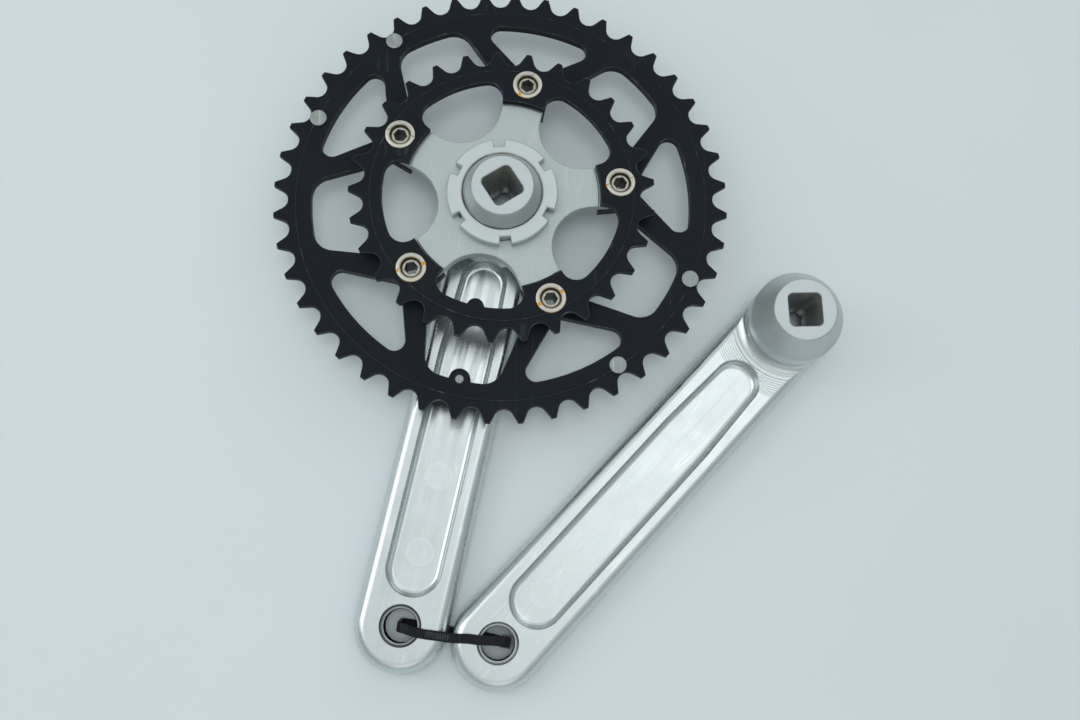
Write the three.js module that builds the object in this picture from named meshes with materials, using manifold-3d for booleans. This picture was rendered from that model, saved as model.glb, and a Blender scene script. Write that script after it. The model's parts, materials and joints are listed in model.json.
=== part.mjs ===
// Double chainring bicycle crankset, lying outer face down: the right crank arm with its
// spider, lockring, two chainrings, bolts and pins, the left crank arm, and the nylon tie
// that holds the two arms together through their pedal holes.
// Millimetres and degrees, +Z up. Each crank arm is drawn with its spindle axis at the
// origin and its pedal hole towards -Y, then turned into place.

import * as THREE from 'three';
import { mergeVertices } from 'three/addons/utils/BufferGeometryUtils.js';
import Module from 'manifold-3d';

const wasm = await Module();
wasm.setup();

// ---- Driving sizes: crank arms ----

const crankLength = 170;          // spindle axis to pedal axis
const armWidth = 35.4;
const armThickness = 13.6;        // outer face to inner face
const innerEdgeWidth = 4.4;       // rounded edge of the inner face, in plan
const innerEdgeDepth = 6.2;
const outerEdgeRadius = 3;
const eyeRelief = 2;              // how far the outer face steps back round the pedal hole
const eyeReliefLength = 30;       // pedal axis to the full depth of that step
const eyeReliefRamp = 22;
const pocketWidth = 21.2;
const pocketHeadWidth = 18.4;     // width where the pocket starts, next to the spindle boss
const pocketDepth = 5;
const pocketFilletWidth = 2.6;
const pocketFilletDepth = 3.4;
const pocketBossWall = 6.2;       // boss to pocket
const pocketEyeWall = 11;         // pocket to pedal axis
const pocketFlare = 30;           // length over which the pocket widens
const pedalBoreRadius = 6.9;
const pedalChamfer = 0.9;

// ---- Driving sizes: spindle boss ----

const bossHeight = 37.3;          // outer face to the boss's end face
const bossFaceRadius = 12.2;
const bossConeAngle = 27.6;       // from the axis
const bossChamfer = 0.5;
const bossProud = 0.3;            // the left boss is cut back this much by the arm's round end
const filletRadius = 7.6;         // left boss to the arm's inner face
const taperMouth = 13.1;          // across the flats of the square hole, at the boss face
const taperAngle = 2;
const taperCornerRadius = 2.2;
const extractorRadius = 11;
const extractorDepth = 11.5;

// ---- Driving sizes: chainrings and spider ----

const chainPitch = 12.7;
const rollerSeatRadius = 3.97;
const rootDepth = 3.88;           // pitch circle to the bottom of a tooth gap
const tipHeight = 1.8;            // pitch circle to a tooth's cut-off tip
const tipWidth = 2;
const seatArc = 62;               // half of the arc that a roller rests in
const toothThickness = 2.2;
const toothSetback = 0.5;         // teeth below the plate's inner face
const outerTeeth = 44;
const innerTeeth = 29;
const outerToothAngle = 5.67;     // where one tooth stands
const innerToothAngle = 6.14;
const outerPlateThickness = 4;
const innerPlateThickness = 3.2;
const outerPlateEdge = 3;         // root circle to the plate's edge
const innerPlateEdge = 2.6;
const outerRimWidth = 9.4;        // root circle to the windows
const innerRimWidth = 7.6;
const ringToArm = 4.4;            // arm's inner face to the outer chainring
const boltCircleRadius = 47;
const boltCount = 5;
const firstBoltAngle = 6.61;
const outerTabReach = 8.5;        // bolt circle to the tab's inner end
const outerTabWidth = 17.4;
const spokeInnerAngle = 54;       // sides of the windows over the bolts, from the bolt's ray
const spokeOuterAngle = 47;       // sides of the windows between the bolts
const spokeApex = 6;              // bolt circle to where the sides of a bolt's window meet
const windowTipRadius = 3.6;
const windowCornerRadius = 4.2;
const openingCornerRadius = 8;
const innerTabReach = 8;
const innerTabWidth = 16.6;
const innerTabFlare = 10;         // heading of a tab's side, from the bolt's ray
const innerOpeningCorner = 6;
const spiderThickness = 5;
const spiderTabThickness = 4.3;
const spiderTabWidth = 16.2;
const spiderTabReach = 6.5;       // bolt circle to the tab's outer end
const spiderTabCorner = 5;
const spiderScallopInset = 5;     // bolt circle to the scallops' centres
const spiderShelfGap = 0.6;       // inner chainring's tabs to the spider's raised middle
const splineCount = 10;
const splineInset = 1.7;          // right boss's neck to the bottom of the splines
const splineHeight = 1.6;
const splineRootShare = 0.64;     // of a spline's pitch, at the bottom and at the top
const splineTipShare = 0.4;
const shoulderInset = 0.3;        // lockring's edge to the right arm's shoulder under the spider
const lockringWidth = 6;          // bore to edge
const lockringThickness = 4;
const lockringNotches = 6;
const lockringNotchWidth = 4.8;
const lockringNotchDepth = 3;
const lockringNotchAngle = 34.6;

// ---- Driving sizes: fasteners and pins ----

const smallChamfer = 0.5;
const nutWall = 0.8;              // bolt's hole to the nut sleeve's outside
const nutFlangeOverhang = 0.9;
const nutFlangeThickness = 1.5;
const nutCounterbore = 0.8;
const nutSlotWidth = 1.5;
const nutSlotDepth = 0.8;
const nutSlotAngles = [18, 55, -15, 17, 31];
const boltShankRadius = 4;
const boltHeadOverhang = 1;       // past the nut's sleeve
const boltHeadThickness = 1.5;
const boltCounterbore = 1.1;
const boltHexFlats = 5;
const shiftPinAngles = [124.1, 156.6, 304.6, 337.2];
const shiftPinSetback = 3.7;      // root circle to a pin's axis
const shiftPinHeadRadius = 3.4;
const shiftPinHeadHeight = 0.9;
const shiftPinShankRadius = 1.8;
const chainPinAngle = 258.5;
const chainPinRadius = 1.7;
const chainPinSetback = 0.5;      // windows' edge to the pin's axis
const chainPinLobe = 4.5;
const chainPinToArm = 1;          // arm's inner face to the pin's end
const alignmentLobe = 3.4;

// ---- Driving sizes: tie and layout ----

const tieWidth = 4.4;
const tieThickness = 1.2;
const tieSkew = 2.2;              // sideways step between the tie's upper and lower runs
const tieHeadLength = 4.8;
const tieHeadWidth = 5.8;
const tieHeadHeight = 4.5;
const tieHeadBase = 4.6;          // floor to the head's lower end, in the left pedal hole
const tieHeadToBore = 1.5;        // head to the far wall of the left pedal hole
const tieRootInset = 1;           // head's near face to the middle of the strap it is moulded on
const tieSlotInset = 3.4;         // head's near face to the middle of its slot
const tieSlotGap = 0.2;
const tieTail = 2;                // what is left of the strap past the head
const tieTurnOffset = 0.6;        // past the right pedal axis to where the tie turns up
const tieBend = 2.2;
const tieGap = 0.4;               // tie to the arm faces
const tieFloorGap = 0.3;
const tieAngle = -9.3;            // heading from the right pedal axis to the left one
const rightArmAngle = 78.2;       // heading from pedal axis to spindle axis
const eyeGap = 1.7;               // between the two arms' pedal ends
const bossToTeeth = 16.91;        // left boss to the outer chainring's tooth tips

const fitGap = 0.3;               // between pieces that touch
const holeGap = 0.2;              // pin or bolt to its hole, in radius
const past = 2;                   // how far a cutter runs past what it cuts

// ---- Sizes that follow ----

const armHalfWidth = armWidth / 2;
const outerPlateBase = armThickness + ringToArm;
const spiderBase = outerPlateBase + outerPlateThickness;
const spiderTop = spiderBase + spiderThickness;
const innerPlateBase = spiderBase + spiderTabThickness;
const innerPlateTop = innerPlateBase + innerPlateThickness;
const lockringTop = spiderTop + lockringThickness;
const coneSlope = Math.tan(THREE.MathUtils.degToRad(bossConeAngle));
const rightNeckRadius = bossFaceRadius + (bossHeight - lockringTop) * coneSlope;
const lockringBore = rightNeckRadius + fitGap;
const lockringRadius = lockringBore + lockringWidth;
const shoulderRadius = lockringRadius - shoulderInset;
const splineRootRadius = rightNeckRadius + splineInset;
const splineTipRadius = splineRootRadius + splineHeight;
const leftWallRadius = armHalfWidth + bossProud;
const leftConeBase = bossHeight - (leftWallRadius - bossFaceRadius) / coneSlope;
const leftFilletRadius = Math.min(filletRadius, leftConeBase - armThickness);
const pitchRadius = (teeth) => chainPitch / (2 * Math.sin(Math.PI / teeth));
const rootRadius = (teeth) => pitchRadius(teeth) - rootDepth;
const boltAngles = Array.from({ length: boltCount }, (_, i) => firstBoltAngle + i * 360 / boltCount);
const nutSleeveRadius = boltShankRadius + holeGap + nutWall;
const nutFlangeRadius = nutSleeveRadius + nutFlangeOverhang;
const boltHeadRadius = nutSleeveRadius + boltHeadOverhang;
const boltHoleRadius = nutSleeveRadius + holeGap;
const spiderScallopCentre = boltCircleRadius - spiderScallopInset;
const spiderShelfRadius = boltCircleRadius - innerTabReach - spiderShelfGap;
const tieSpan = armWidth + eyeGap;    // pedal axis to pedal axis
const tieHeadStart = tieSpan + pedalBoreRadius - tieHeadToBore - tieHeadLength;
const tieRootX = tieHeadStart + tieRootInset;
const tieSlotX = tieHeadStart + tieSlotInset;
const sectorAngle = 180 / boltCount;  // bolt's ray to the middle of the next opening

// ---- Small helpers ----

const rad = THREE.MathUtils.degToRad;

function polar(radius, angle) {
  return new THREE.Vector2(radius * Math.cos(rad(angle)), radius * Math.sin(rad(angle)));
}

// Points on an arc, both ends included.
function arc(centre, radius, from, to, step) {
  const count = Math.max(1, Math.ceil(Math.abs(to - from) / step));
  return Array.from({ length: count + 1 }, (_, i) => {
    return polar(radius, from + (to - from) * i / count).add(centre);
  });
}

function turned(points, angle) {
  return points.map((point) => point.clone().rotateAround(new THREE.Vector2(), rad(angle)));
}

function mirrored(points) {
  return points.map((point) => new THREE.Vector2(point.x, -point.y)).reverse();
}

// Repeats one sector's points round the axis into a closed outline.
function repeated(sector, count, firstAngle) {
  return Array.from({ length: count }, (_, i) => turned(sector, firstAngle + i * 360 / count)).flat();
}

// An outline with each corner rounded to the given radius.
function rounded(corners, radius, step) {
  return corners.flatMap((corner, i) => {
    const before = corners[(i + corners.length - 1) % corners.length];
    const after = corners[(i + 1) % corners.length];
    return roundedCorner(before, corner, after, radius, step);
  });
}

function roundedCorner(before, corner, after, radius, step) {
  const inward = before.clone().sub(corner).normalize();
  const outward = after.clone().sub(corner).normalize();
  const half = Math.acos(THREE.MathUtils.clamp(inward.dot(outward), -1, 1)) / 2;
  const bisector = inward.clone().add(outward).normalize();
  const centre = corner.clone().addScaledVector(bisector, radius / Math.sin(half));
  const start = corner.clone().addScaledVector(inward, radius / Math.tan(half)).sub(centre);
  const end = corner.clone().addScaledVector(outward, radius / Math.tan(half)).sub(centre);
  const from = THREE.MathUtils.radToDeg(start.angle());
  const turn = THREE.MathUtils.radToDeg(Math.atan2(start.cross(end), start.dot(end)));
  return arc(centre, radius, from, from + turn, step);
}

// The arc that rounds the corner between a straight side and the circle about the origin.
// The side passes through the point with the given heading, and the corner is on its left.
function cornerOnCircle(point, heading, cornerRadius, circleRadius, step) {
  const along = polar(1, heading);
  const left = polar(1, heading + 90);
  const offset = point.dot(left) + cornerRadius;
  const reach = Math.sqrt((circleRadius - cornerRadius) ** 2 - offset ** 2);
  const centre = left.multiplyScalar(offset).addScaledVector(along, reach);
  const onCircle = THREE.MathUtils.radToDeg(Math.atan2(centre.y, centre.x));
  return arc(centre, cornerRadius, heading - 90, onCircle, step);
}

// A closed manifold solid from any closed geometry, with its faces pointing out.
function solid(geometry) {
  const bare = geometry.clone();
  bare.deleteAttribute('normal');
  bare.deleteAttribute('uv');
  const merged = mergeVertices(bare, 1e-4);
  const positions = merged.attributes.position;
  const triangles = [];
  let volume = 0;
  for (let i = 0; i < merged.index.count; i += 3) {
    const [a, b, c] = [0, 1, 2].map((k) => merged.index.getX(i + k));
    if (a !== b && b !== c && c !== a) {
      triangles.push([a, b, c]);
      const [p, q, r] = [a, b, c].map((k) => new THREE.Vector3().fromBufferAttribute(positions, k));
      volume += p.dot(q.cross(r));
    }
  }
  const facing = volume < 0 ? triangles.map(([a, b, c]) => [a, c, b]) : triangles;
  return new wasm.Manifold(new wasm.Mesh({
    numProp: 3,
    vertProperties: new Float32Array(positions.array),
    triVerts: new Uint32Array(facing.flat()),
  }));
}

// A prism on an outline, from one height to another, with holes and an optional edge.
function prism(outline, base, top, { holes = [], edgeWidth = 0, edgeDepth = 0, edgeSteps = 1 } = {}) {
  const shape = new THREE.Shape(outline);
  shape.holes = holes.map((hole) => new THREE.Path(hole));
  const geometry = new THREE.ExtrudeGeometry(shape, {
    depth: top - base - 2 * edgeDepth,
    bevelEnabled: edgeWidth > 0,
    bevelSize: edgeWidth,
    bevelOffset: -edgeWidth,
    bevelThickness: edgeDepth,
    bevelSegments: edgeSteps,
  });
  geometry.translate(0, 0, base + edgeDepth);
  return solid(geometry);
}

// A turned solid about Z from a profile of [radius, height] pairs.
function turning(profile, segments, centre = new THREE.Vector2()) {
  const points = profile.map(([radius, height]) => new THREE.Vector2(radius, height));
  const geometry = new THREE.LatheGeometry(points, segments);
  geometry.rotateX(Math.PI / 2);
  geometry.translate(centre.x, centre.y, 0);
  return solid(geometry);
}

function cylinder(radius, base, top, segments, centre) {
  return turning([[0, base], [radius, base], [radius, top], [0, top]], segments, centre);
}

function union(solids) {
  return solids.reduce((whole, piece) => whole.add(piece));
}

function difference(whole, cutters) {
  return cutters.reduce((rest, cutter) => rest.subtract(cutter), whole);
}

function mesh(name, body, material) {
  const result = body.getMesh();
  const geometry = new THREE.BufferGeometry();
  geometry.setAttribute('position', new THREE.BufferAttribute(new Float32Array(result.vertProperties), 3));
  geometry.setIndex(new THREE.BufferAttribute(new Uint32Array(result.triVerts), 1));
  geometry.computeVertexNormals();
  const named = new THREE.Mesh(geometry, material);
  named.name = name;
  return named;
}

// ---- Materials ----

const armAlloy = new THREE.MeshStandardMaterial({ color: 0xc3cacc, roughness: 0.34, metalness: 1 });
const spiderAlloy = new THREE.MeshStandardMaterial({ color: 0xb4bfbd, roughness: 0.55, metalness: 1 });
const lockringAlloy = new THREE.MeshStandardMaterial({ color: 0xb9c4c1, roughness: 0.5, metalness: 1 });
const blackAnodised = new THREE.MeshStandardMaterial({ color: 0x23282f, roughness: 0.5, metalness: 0.6 });
const nickelSteel = new THREE.MeshStandardMaterial({ color: 0xc9c2b2, roughness: 0.4, metalness: 1 });
const pinSteel = new THREE.MeshStandardMaterial({ color: 0xa9aeb0, roughness: 0.45, metalness: 1 });
const blackNylon = new THREE.MeshStandardMaterial({ color: 0x121315, roughness: 0.45, metalness: 0 });

// ---- Crank arms ----

// The stadium outline of an arm, from the spindle end to the pedal eye.
function armOutline() {
  const spindleEnd = arc(new THREE.Vector2(0, 0), armHalfWidth, 0, 180, 12);
  const pedalEnd = arc(new THREE.Vector2(0, -crankLength), armHalfWidth, 180, 360, 12);
  return [...spindleEnd, ...pedalEnd];
}

// The arm's bar, rounded along its inner face, before its outer edge is rounded.
function armBar() {
  return prism(armOutline(), -innerEdgeDepth - past, armThickness, {
    edgeWidth: innerEdgeWidth,
    edgeDepth: innerEdgeDepth,
    edgeSteps: 3,
  });
}

// A tall prism on the arm's outline, rounded along its outer face. It bounds the arm.
function armEnvelope() {
  return prism(armOutline(), 0, bossHeight + past + outerEdgeRadius, {
    edgeWidth: outerEdgeRadius,
    edgeDepth: outerEdgeRadius,
    edgeSteps: 2,
  });
}

function pocketOutline() {
  const head = pocketHeadWidth / 2;
  const foot = pocketWidth / 2;
  const headCentre = new THREE.Vector2(0, -(armHalfWidth + pocketBossWall + head));
  const footCentre = new THREE.Vector2(0, -(crankLength - pocketEyeWall - foot));
  const flareEnd = headCentre.y - pocketFlare;
  return [
    ...arc(headCentre, head, 0, 180, 12),
    new THREE.Vector2(-foot, flareEnd),
    ...arc(footCentre, foot, 180, 360, 12),
    new THREE.Vector2(foot, flareEnd),
  ];
}

function pocketCutter() {
  return prism(pocketOutline(), armThickness - pocketDepth, armThickness + past + pocketFilletDepth, {
    edgeWidth: pocketFilletWidth,
    edgeDepth: pocketFilletDepth,
    edgeSteps: 2,
  });
}

function pedalHoleCutter() {
  return turning([
    [0, -past],
    [pedalBoreRadius, -past],
    [pedalBoreRadius, armThickness - pedalChamfer],
    [pedalBoreRadius + pedalChamfer, armThickness],
    [pedalBoreRadius + pedalChamfer, armThickness + past],
    [0, armThickness + past],
  ], 28, new THREE.Vector2(0, -crankLength));
}

// Steps the outer face back round the pedal hole, down a ramp.
function eyeReliefCutter() {
  const full = crankLength - eyeReliefLength;
  const end = crankLength + armWidth;
  const side = [[full - eyeReliefRamp, 0], [full, eyeRelief], [end, eyeRelief], [end, -past],
    [full - eyeReliefRamp, -past]];
  const shape = new THREE.Shape(side.map(([distance, height]) => new THREE.Vector2(-distance, height)));
  const geometry = new THREE.ExtrudeGeometry(shape, { depth: 2 * armWidth, bevelEnabled: false });
  // The side view's axes become the arm's Y and Z, and the extrusion runs along X.
  geometry.applyMatrix4(new THREE.Matrix4().makeBasis(
    new THREE.Vector3(0, 1, 0), new THREE.Vector3(0, 0, 1), new THREE.Vector3(1, 0, 0)));
  geometry.translate(-armWidth, 0, 0);
  return solid(geometry);
}

// The square hole, narrowing from the boss face to the extractor recess, corners along the arm.
function spindleHoleCutter() {
  const half = taperMouth / 2;
  const corners = [[half, half], [-half, half], [-half, -half], [half, -half]];
  const square = rounded(corners.map(([x, y]) => new THREE.Vector2(x, y)), taperCornerRadius, 22.5);
  const shape = new THREE.Shape(square);
  const base = extractorDepth - past;
  const geometry = new THREE.ExtrudeGeometry(shape, { depth: bossHeight + past - base, bevelEnabled: false });
  geometry.translate(0, 0, base);
  const points = geometry.attributes.position;
  for (let i = 0; i < points.count; i += 1) {
    const depth = bossHeight - points.getZ(i);
    const scale = 1 - depth * Math.tan(rad(taperAngle)) / half;
    points.setXY(i, points.getX(i) * scale, points.getY(i) * scale);
  }
  geometry.rotateZ(Math.PI / 4);
  const recess = cylinder(extractorRadius, -past, extractorDepth, 36);
  return solid(geometry).add(recess);
}

// A boss: a profile from the arm's middle up to its end face, closed on the axis.
function boss(profileBelowCone) {
  return turning([
    [0, armThickness / 2],
    ...profileBelowCone,
    [bossFaceRadius + bossChamfer * coneSlope, bossHeight - bossChamfer],
    [bossFaceRadius - bossChamfer, bossHeight],
    [0, bossHeight],
  ], 48);
}

// The hollow curve from a wall of the given radius out onto the arm's inner face.
function bossFoot(wallRadius) {
  const centre = new THREE.Vector2(wallRadius + leftFilletRadius, armThickness + leftFilletRadius);
  const curve = arc(centre, leftFilletRadius, 270, 180, 15).map((point) => [point.x, point.y]);
  return [[wallRadius + leftFilletRadius, armThickness / 2], ...curve];
}

function leftBoss() {
  return boss([...bossFoot(leftWallRadius), [leftWallRadius, leftConeBase]]);
}

// The right boss carries the spider on a shoulder and splines, and the lockring above it.
function rightBoss() {
  const shoulderTop = spiderBase - fitGap;
  const splineTop = spiderTop - fitGap;
  const shoulderFoot = [
    [shoulderRadius + ringToArm, armThickness / 2],
    [shoulderRadius + ringToArm, armThickness],
    [shoulderRadius, armThickness + ringToArm],
  ];
  const core = boss([
    ...shoulderFoot,
    [shoulderRadius, shoulderTop],
    [splineRootRadius, shoulderTop],
    [splineRootRadius, splineTop],
    [rightNeckRadius, splineTop],
    [rightNeckRadius, lockringTop],
  ]);
  const splines = prism(splineOutline(0), armThickness, splineTop);
  return core.add(splines);
}

// Splines as ridges, drawn larger by a gap for the hole that fits over them.
function splineOutline(gap) {
  const pitch = 360 / splineCount;
  const ridge = [
    polar(splineRootRadius + gap, -pitch * splineRootShare / 2),
    polar(splineTipRadius + gap, -pitch * splineTipShare / 2),
    polar(splineTipRadius + gap, pitch * splineTipShare / 2),
    polar(splineRootRadius + gap, pitch * splineRootShare / 2),
  ];
  return repeated(ridge, splineCount, 0);
}

// The parts of both arms that are the same, with the boss inside the arm's outline.
function crankArm(bossSolid) {
  const whole = armBar().add(bossSolid).intersect(armEnvelope());
  return difference(whole, [pocketCutter(), pedalHoleCutter(), spindleHoleCutter(), eyeReliefCutter()]);
}

// The right arm's shoulder is wider than the arm, so it is joined after the outline cut.
function rightCrankArm() {
  const aboveArm = cylinder(shoulderRadius + ringToArm + past, armThickness + ringToArm / 2, bossHeight + past, 64);
  const arm = crankArm(rightBoss());
  const shoulder = difference(rightBoss().intersect(aboveArm), [spindleHoleCutter()]);
  return arm.add(shoulder);
}

// ---- Chainrings ----

// One tooth's share of the edge: half of its flank, its tip and the gap after it.
function toothedOutline(teeth, firstTooth, seatStep) {
  const pitch = 360 / teeth;
  const seatCentre = polar(pitchRadius(teeth), pitch / 2);
  const tipRadius = pitchRadius(teeth) + tipHeight;
  const tipHalfAngle = THREE.MathUtils.radToDeg(tipWidth / 2 / tipRadius);
  const towardAxis = pitch / 2 + 180;
  const seat = arc(seatCentre, rollerSeatRadius, towardAxis + seatArc, towardAxis - seatArc, seatStep);
  const tooth = [polar(tipRadius, -tipHalfAngle), polar(tipRadius, tipHalfAngle), ...seat];
  return repeated(tooth, teeth, firstTooth);
}

// The window over a bolt, between the two spokes of its tab.
function boltWindow(rimRadius) {
  const apex = new THREE.Vector2(boltCircleRadius + spokeApex, 0);
  const tipCentre = apex.clone().add(new THREE.Vector2(windowTipRadius / Math.sin(rad(spokeInnerAngle)), 0));
  const lowerCorner = cornerOnCircle(apex, -spokeInnerAngle, windowCornerRadius, rimRadius, 20);
  const lastAngle = THREE.MathUtils.radToDeg(lowerCorner[lowerCorner.length - 1].angle()) - 360;
  const rim = arc(new THREE.Vector2(), rimRadius, lastAngle, -lastAngle, 7).slice(1, -1);
  const tip = arc(tipCentre, windowTipRadius, 90 + spokeInnerAngle, 270 - spokeInnerAngle, 24);
  return [...tip, ...lowerCorner, ...rim, ...mirrored(lowerCorner)];
}

// The outer chainring's inner opening: its sector runs from one tab's middle to the next.
function outerOpening(rimRadius) {
  const tabEnd = boltCircleRadius - outerTabReach;
  const halfTab = outerTabWidth / 2;
  const tabCorner = new THREE.Vector2(Math.sqrt(tabEnd ** 2 - halfTab ** 2), halfTab);
  // The straight side leaves the tab where the spoke's outer side meets the tab's edge.
  const spokeStart = new THREE.Vector2(tabEnd + halfTab / Math.tan(rad(spokeOuterAngle)), halfTab);
  const corner = cornerOnCircle(spokeStart, spokeOuterAngle, openingCornerRadius, rimRadius, 14);
  const side = [tabCorner, spokeStart, ...corner];
  const rimStart = THREE.MathUtils.radToDeg(corner[corner.length - 1].angle());
  const rim = arc(new THREE.Vector2(), rimRadius, rimStart, 2 * sectorAngle - rimStart, 7).slice(1, -1);
  const farSide = turned(mirrored(side), 2 * sectorAngle);
  return repeated([...side, ...rim, ...farSide], boltCount, firstBoltAngle);
}

// The inner chainring's opening, scalloped between its tabs.
function innerOpening(rimRadius) {
  const tabEnd = boltCircleRadius - innerTabReach;
  const halfTab = innerTabWidth / 2;
  const tabCorner = new THREE.Vector2(Math.sqrt(tabEnd ** 2 - halfTab ** 2), halfTab);
  const corner = cornerOnCircle(tabCorner, innerTabFlare, innerOpeningCorner, rimRadius, 14);
  const rimStart = THREE.MathUtils.radToDeg(corner[corner.length - 1].angle());
  const rim = arc(new THREE.Vector2(), rimRadius, rimStart, 2 * sectorAngle - rimStart, 9).slice(1, -1);
  const side = [tabCorner, ...corner];
  const tabHalfAngle = THREE.MathUtils.radToDeg(tabCorner.angle());
  const tabFace = arc(new THREE.Vector2(), tabEnd, -tabHalfAngle, tabHalfAngle, 9).slice(1, -1);
  const farSide = turned(mirrored(side), 2 * sectorAngle);
  return repeated([...tabFace, ...side, ...rim, ...farSide], boltCount, firstBoltAngle);
}

function boltHoles(radius, base, top) {
  return boltAngles.map((angle) => cylinder(radius, base, top, 16, polar(boltCircleRadius, angle)));
}

function toothDisc(teeth, firstTooth, plateTop) {
  const top = plateTop - toothSetback;
  return prism(toothedOutline(teeth, firstTooth, 31), top - toothThickness, top);
}

function plate(radius, base, top, holes) {
  const edge = arc(new THREE.Vector2(), radius, 0, 360, 7.5).slice(0, -1);
  return prism(edge, base, top, { holes });
}

function shiftPinCentres() {
  return shiftPinAngles.map((angle) => polar(rootRadius(outerTeeth) - shiftPinSetback, angle));
}

// The chain pin stands in a lobe on the rim, whose middle lies on the windows' edge.
function chainPinCentre() {
  return polar(rootRadius(outerTeeth) - outerRimWidth - chainPinSetback, chainPinAngle);
}

function outerChainring() {
  const base = outerPlateBase;
  const top = spiderBase;
  const rimRadius = rootRadius(outerTeeth) - outerRimWidth;
  const windows = repeatedWindows(rimRadius);
  const opening = outerOpening(rimRadius);
  const body = plate(rootRadius(outerTeeth) - outerPlateEdge, base, top, [opening, ...windows]);
  const teeth = difference(toothDisc(outerTeeth, outerToothAngle, top), [
    cylinder(rootRadius(outerTeeth) - outerPlateEdge - past, base - past, top + past, 48),
  ]);
  const lobe = cylinder(chainPinLobe, base, top, 20, chainPinCentre());
  return difference(union([body, teeth, lobe]), [
    ...boltHoles(boltHoleRadius, base - past, top + past),
    ...boltHoles(boltHeadRadius + holeGap, base - past, base + boltCounterbore),
    ...shiftPinCentres().map((centre) => {
      return cylinder(shiftPinShankRadius + holeGap, base - past, top + past, 12, centre);
    }),
    cylinder(chainPinRadius + holeGap, base - past, top + past, 12, chainPinCentre()),
  ]);
}

function repeatedWindows(rimRadius) {
  return boltAngles.map((angle) => turned(boltWindow(rimRadius), angle));
}

function innerChainring() {
  const base = innerPlateBase;
  const top = innerPlateTop;
  const rimRadius = rootRadius(innerTeeth) - innerRimWidth;
  const body = plate(rootRadius(innerTeeth) - innerPlateEdge, base, top, [innerOpening(rimRadius)]);
  const teeth = difference(toothDisc(innerTeeth, innerToothAngle, top), [
    cylinder(rootRadius(innerTeeth) - innerPlateEdge - past, base - past, top + past, 48),
  ]);
  const lobe = cylinder(alignmentLobe, base, top, 16, polar(rimRadius + chainPinSetback, chainPinAngle));
  return difference(union([body, teeth, lobe]), [
    ...boltHoles(boltHoleRadius, base - past, top + past),
    ...boltHoles(nutFlangeRadius + holeGap, top - nutCounterbore, top + past),
  ]);
}

// ---- Spider and lockring ----

function spiderOutline() {
  const scallopRadius = spiderScallopCentre * Math.sin(rad(sectorAngle)) - spiderTabWidth / 2;
  const scallopCentre = polar(spiderScallopCentre, sectorAngle);
  const scallop = arc(scallopCentre, scallopRadius, 270, 90 + 2 * sectorAngle, 12);
  const tabTip = boltCircleRadius + spiderTabReach;
  const cornerCentre = new THREE.Vector2(tabTip - spiderTabCorner, spiderTabWidth / 2 - spiderTabCorner);
  const tipCorner = arc(cornerCentre, spiderTabCorner, 0, 90, 18);
  const nextTabCorner = turned(mirrored(tipCorner), 2 * sectorAngle);
  return repeated([...tipCorner, ...scallop, ...nextTabCorner], boltCount, firstBoltAngle);
}

function spider() {
  const body = prism(spiderOutline(), spiderBase, spiderTop, {
    holes: [turned(splineOutline(fitGap), rightArmAngle - 90)],
  });
  const reach = boltCircleRadius + spiderTabReach + past;
  const shelf = turning([
    [spiderShelfRadius, innerPlateBase],
    [reach, innerPlateBase],
    [reach, spiderTop + past],
    [spiderShelfRadius, spiderTop + past],
    [spiderShelfRadius, innerPlateBase],
  ], 60);
  return difference(body, [shelf, ...boltHoles(boltHoleRadius, spiderBase - past, spiderTop + past)]);
}

function lockring() {
  const halfNotch = THREE.MathUtils.radToDeg(lockringNotchWidth / 2 / lockringRadius);
  const pitch = 360 / lockringNotches;
  const floor = lockringRadius - lockringNotchDepth;
  const sector = [
    polar(floor, -halfNotch),
    polar(floor, halfNotch),
    ...arc(new THREE.Vector2(), lockringRadius, halfNotch, pitch - halfNotch, 9),
  ];
  const bore = arc(new THREE.Vector2(), lockringBore, 0, 360, 10).slice(0, -1);
  return prism(repeated(sector, lockringNotches, lockringNotchAngle), spiderTop, lockringTop, {
    holes: [bore],
  });
}

// ---- Fasteners and pins ----

// A sleeve nut: its flange seats in the inner chainring, with two slots for the pin spanner.
function chainringNut(slotAngle) {
  const seat = innerPlateTop - nutCounterbore;
  const flangeTop = seat + nutFlangeThickness;
  const bore = boltShankRadius + holeGap;
  const sleeveBase = outerPlateBase + boltCounterbore + boltHeadThickness;
  const body = turning([
    [bore, sleeveBase],
    [nutSleeveRadius, sleeveBase],
    [nutSleeveRadius, seat],
    [nutFlangeRadius, seat],
    [nutFlangeRadius, flangeTop - smallChamfer],
    [nutFlangeRadius - smallChamfer, flangeTop],
    [bore, flangeTop],
    [bore, sleeveBase],
  ], 20);
  const slot = new THREE.BoxGeometry(2 * nutFlangeRadius + past, nutSlotWidth, 2 * nutSlotDepth);
  slot.rotateZ(rad(slotAngle));
  slot.translate(0, 0, flangeTop);
  return body.subtract(solid(slot));
}

// A hollow bolt from the outer face: head in the outer chainring, hexagon socket right through.
function chainringBolt() {
  const seat = outerPlateBase + boltCounterbore;
  const headBase = seat - boltHeadThickness;
  const shankTop = innerPlateTop - nutCounterbore + nutFlangeThickness - nutSlotDepth;
  const body = turning([
    [0, headBase],
    [boltHeadRadius - smallChamfer, headBase],
    [boltHeadRadius, headBase + smallChamfer],
    [boltHeadRadius, seat],
    [boltShankRadius, seat],
    [boltShankRadius, shankTop - smallChamfer],
    [boltShankRadius - smallChamfer, shankTop],
    [0, shankTop],
  ], 20);
  const hexRadius = boltHexFlats / 2 / Math.cos(Math.PI / 6);
  const socket = cylinder(hexRadius, headBase - past, shankTop + past, 6);
  return body.subtract(socket);
}

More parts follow.
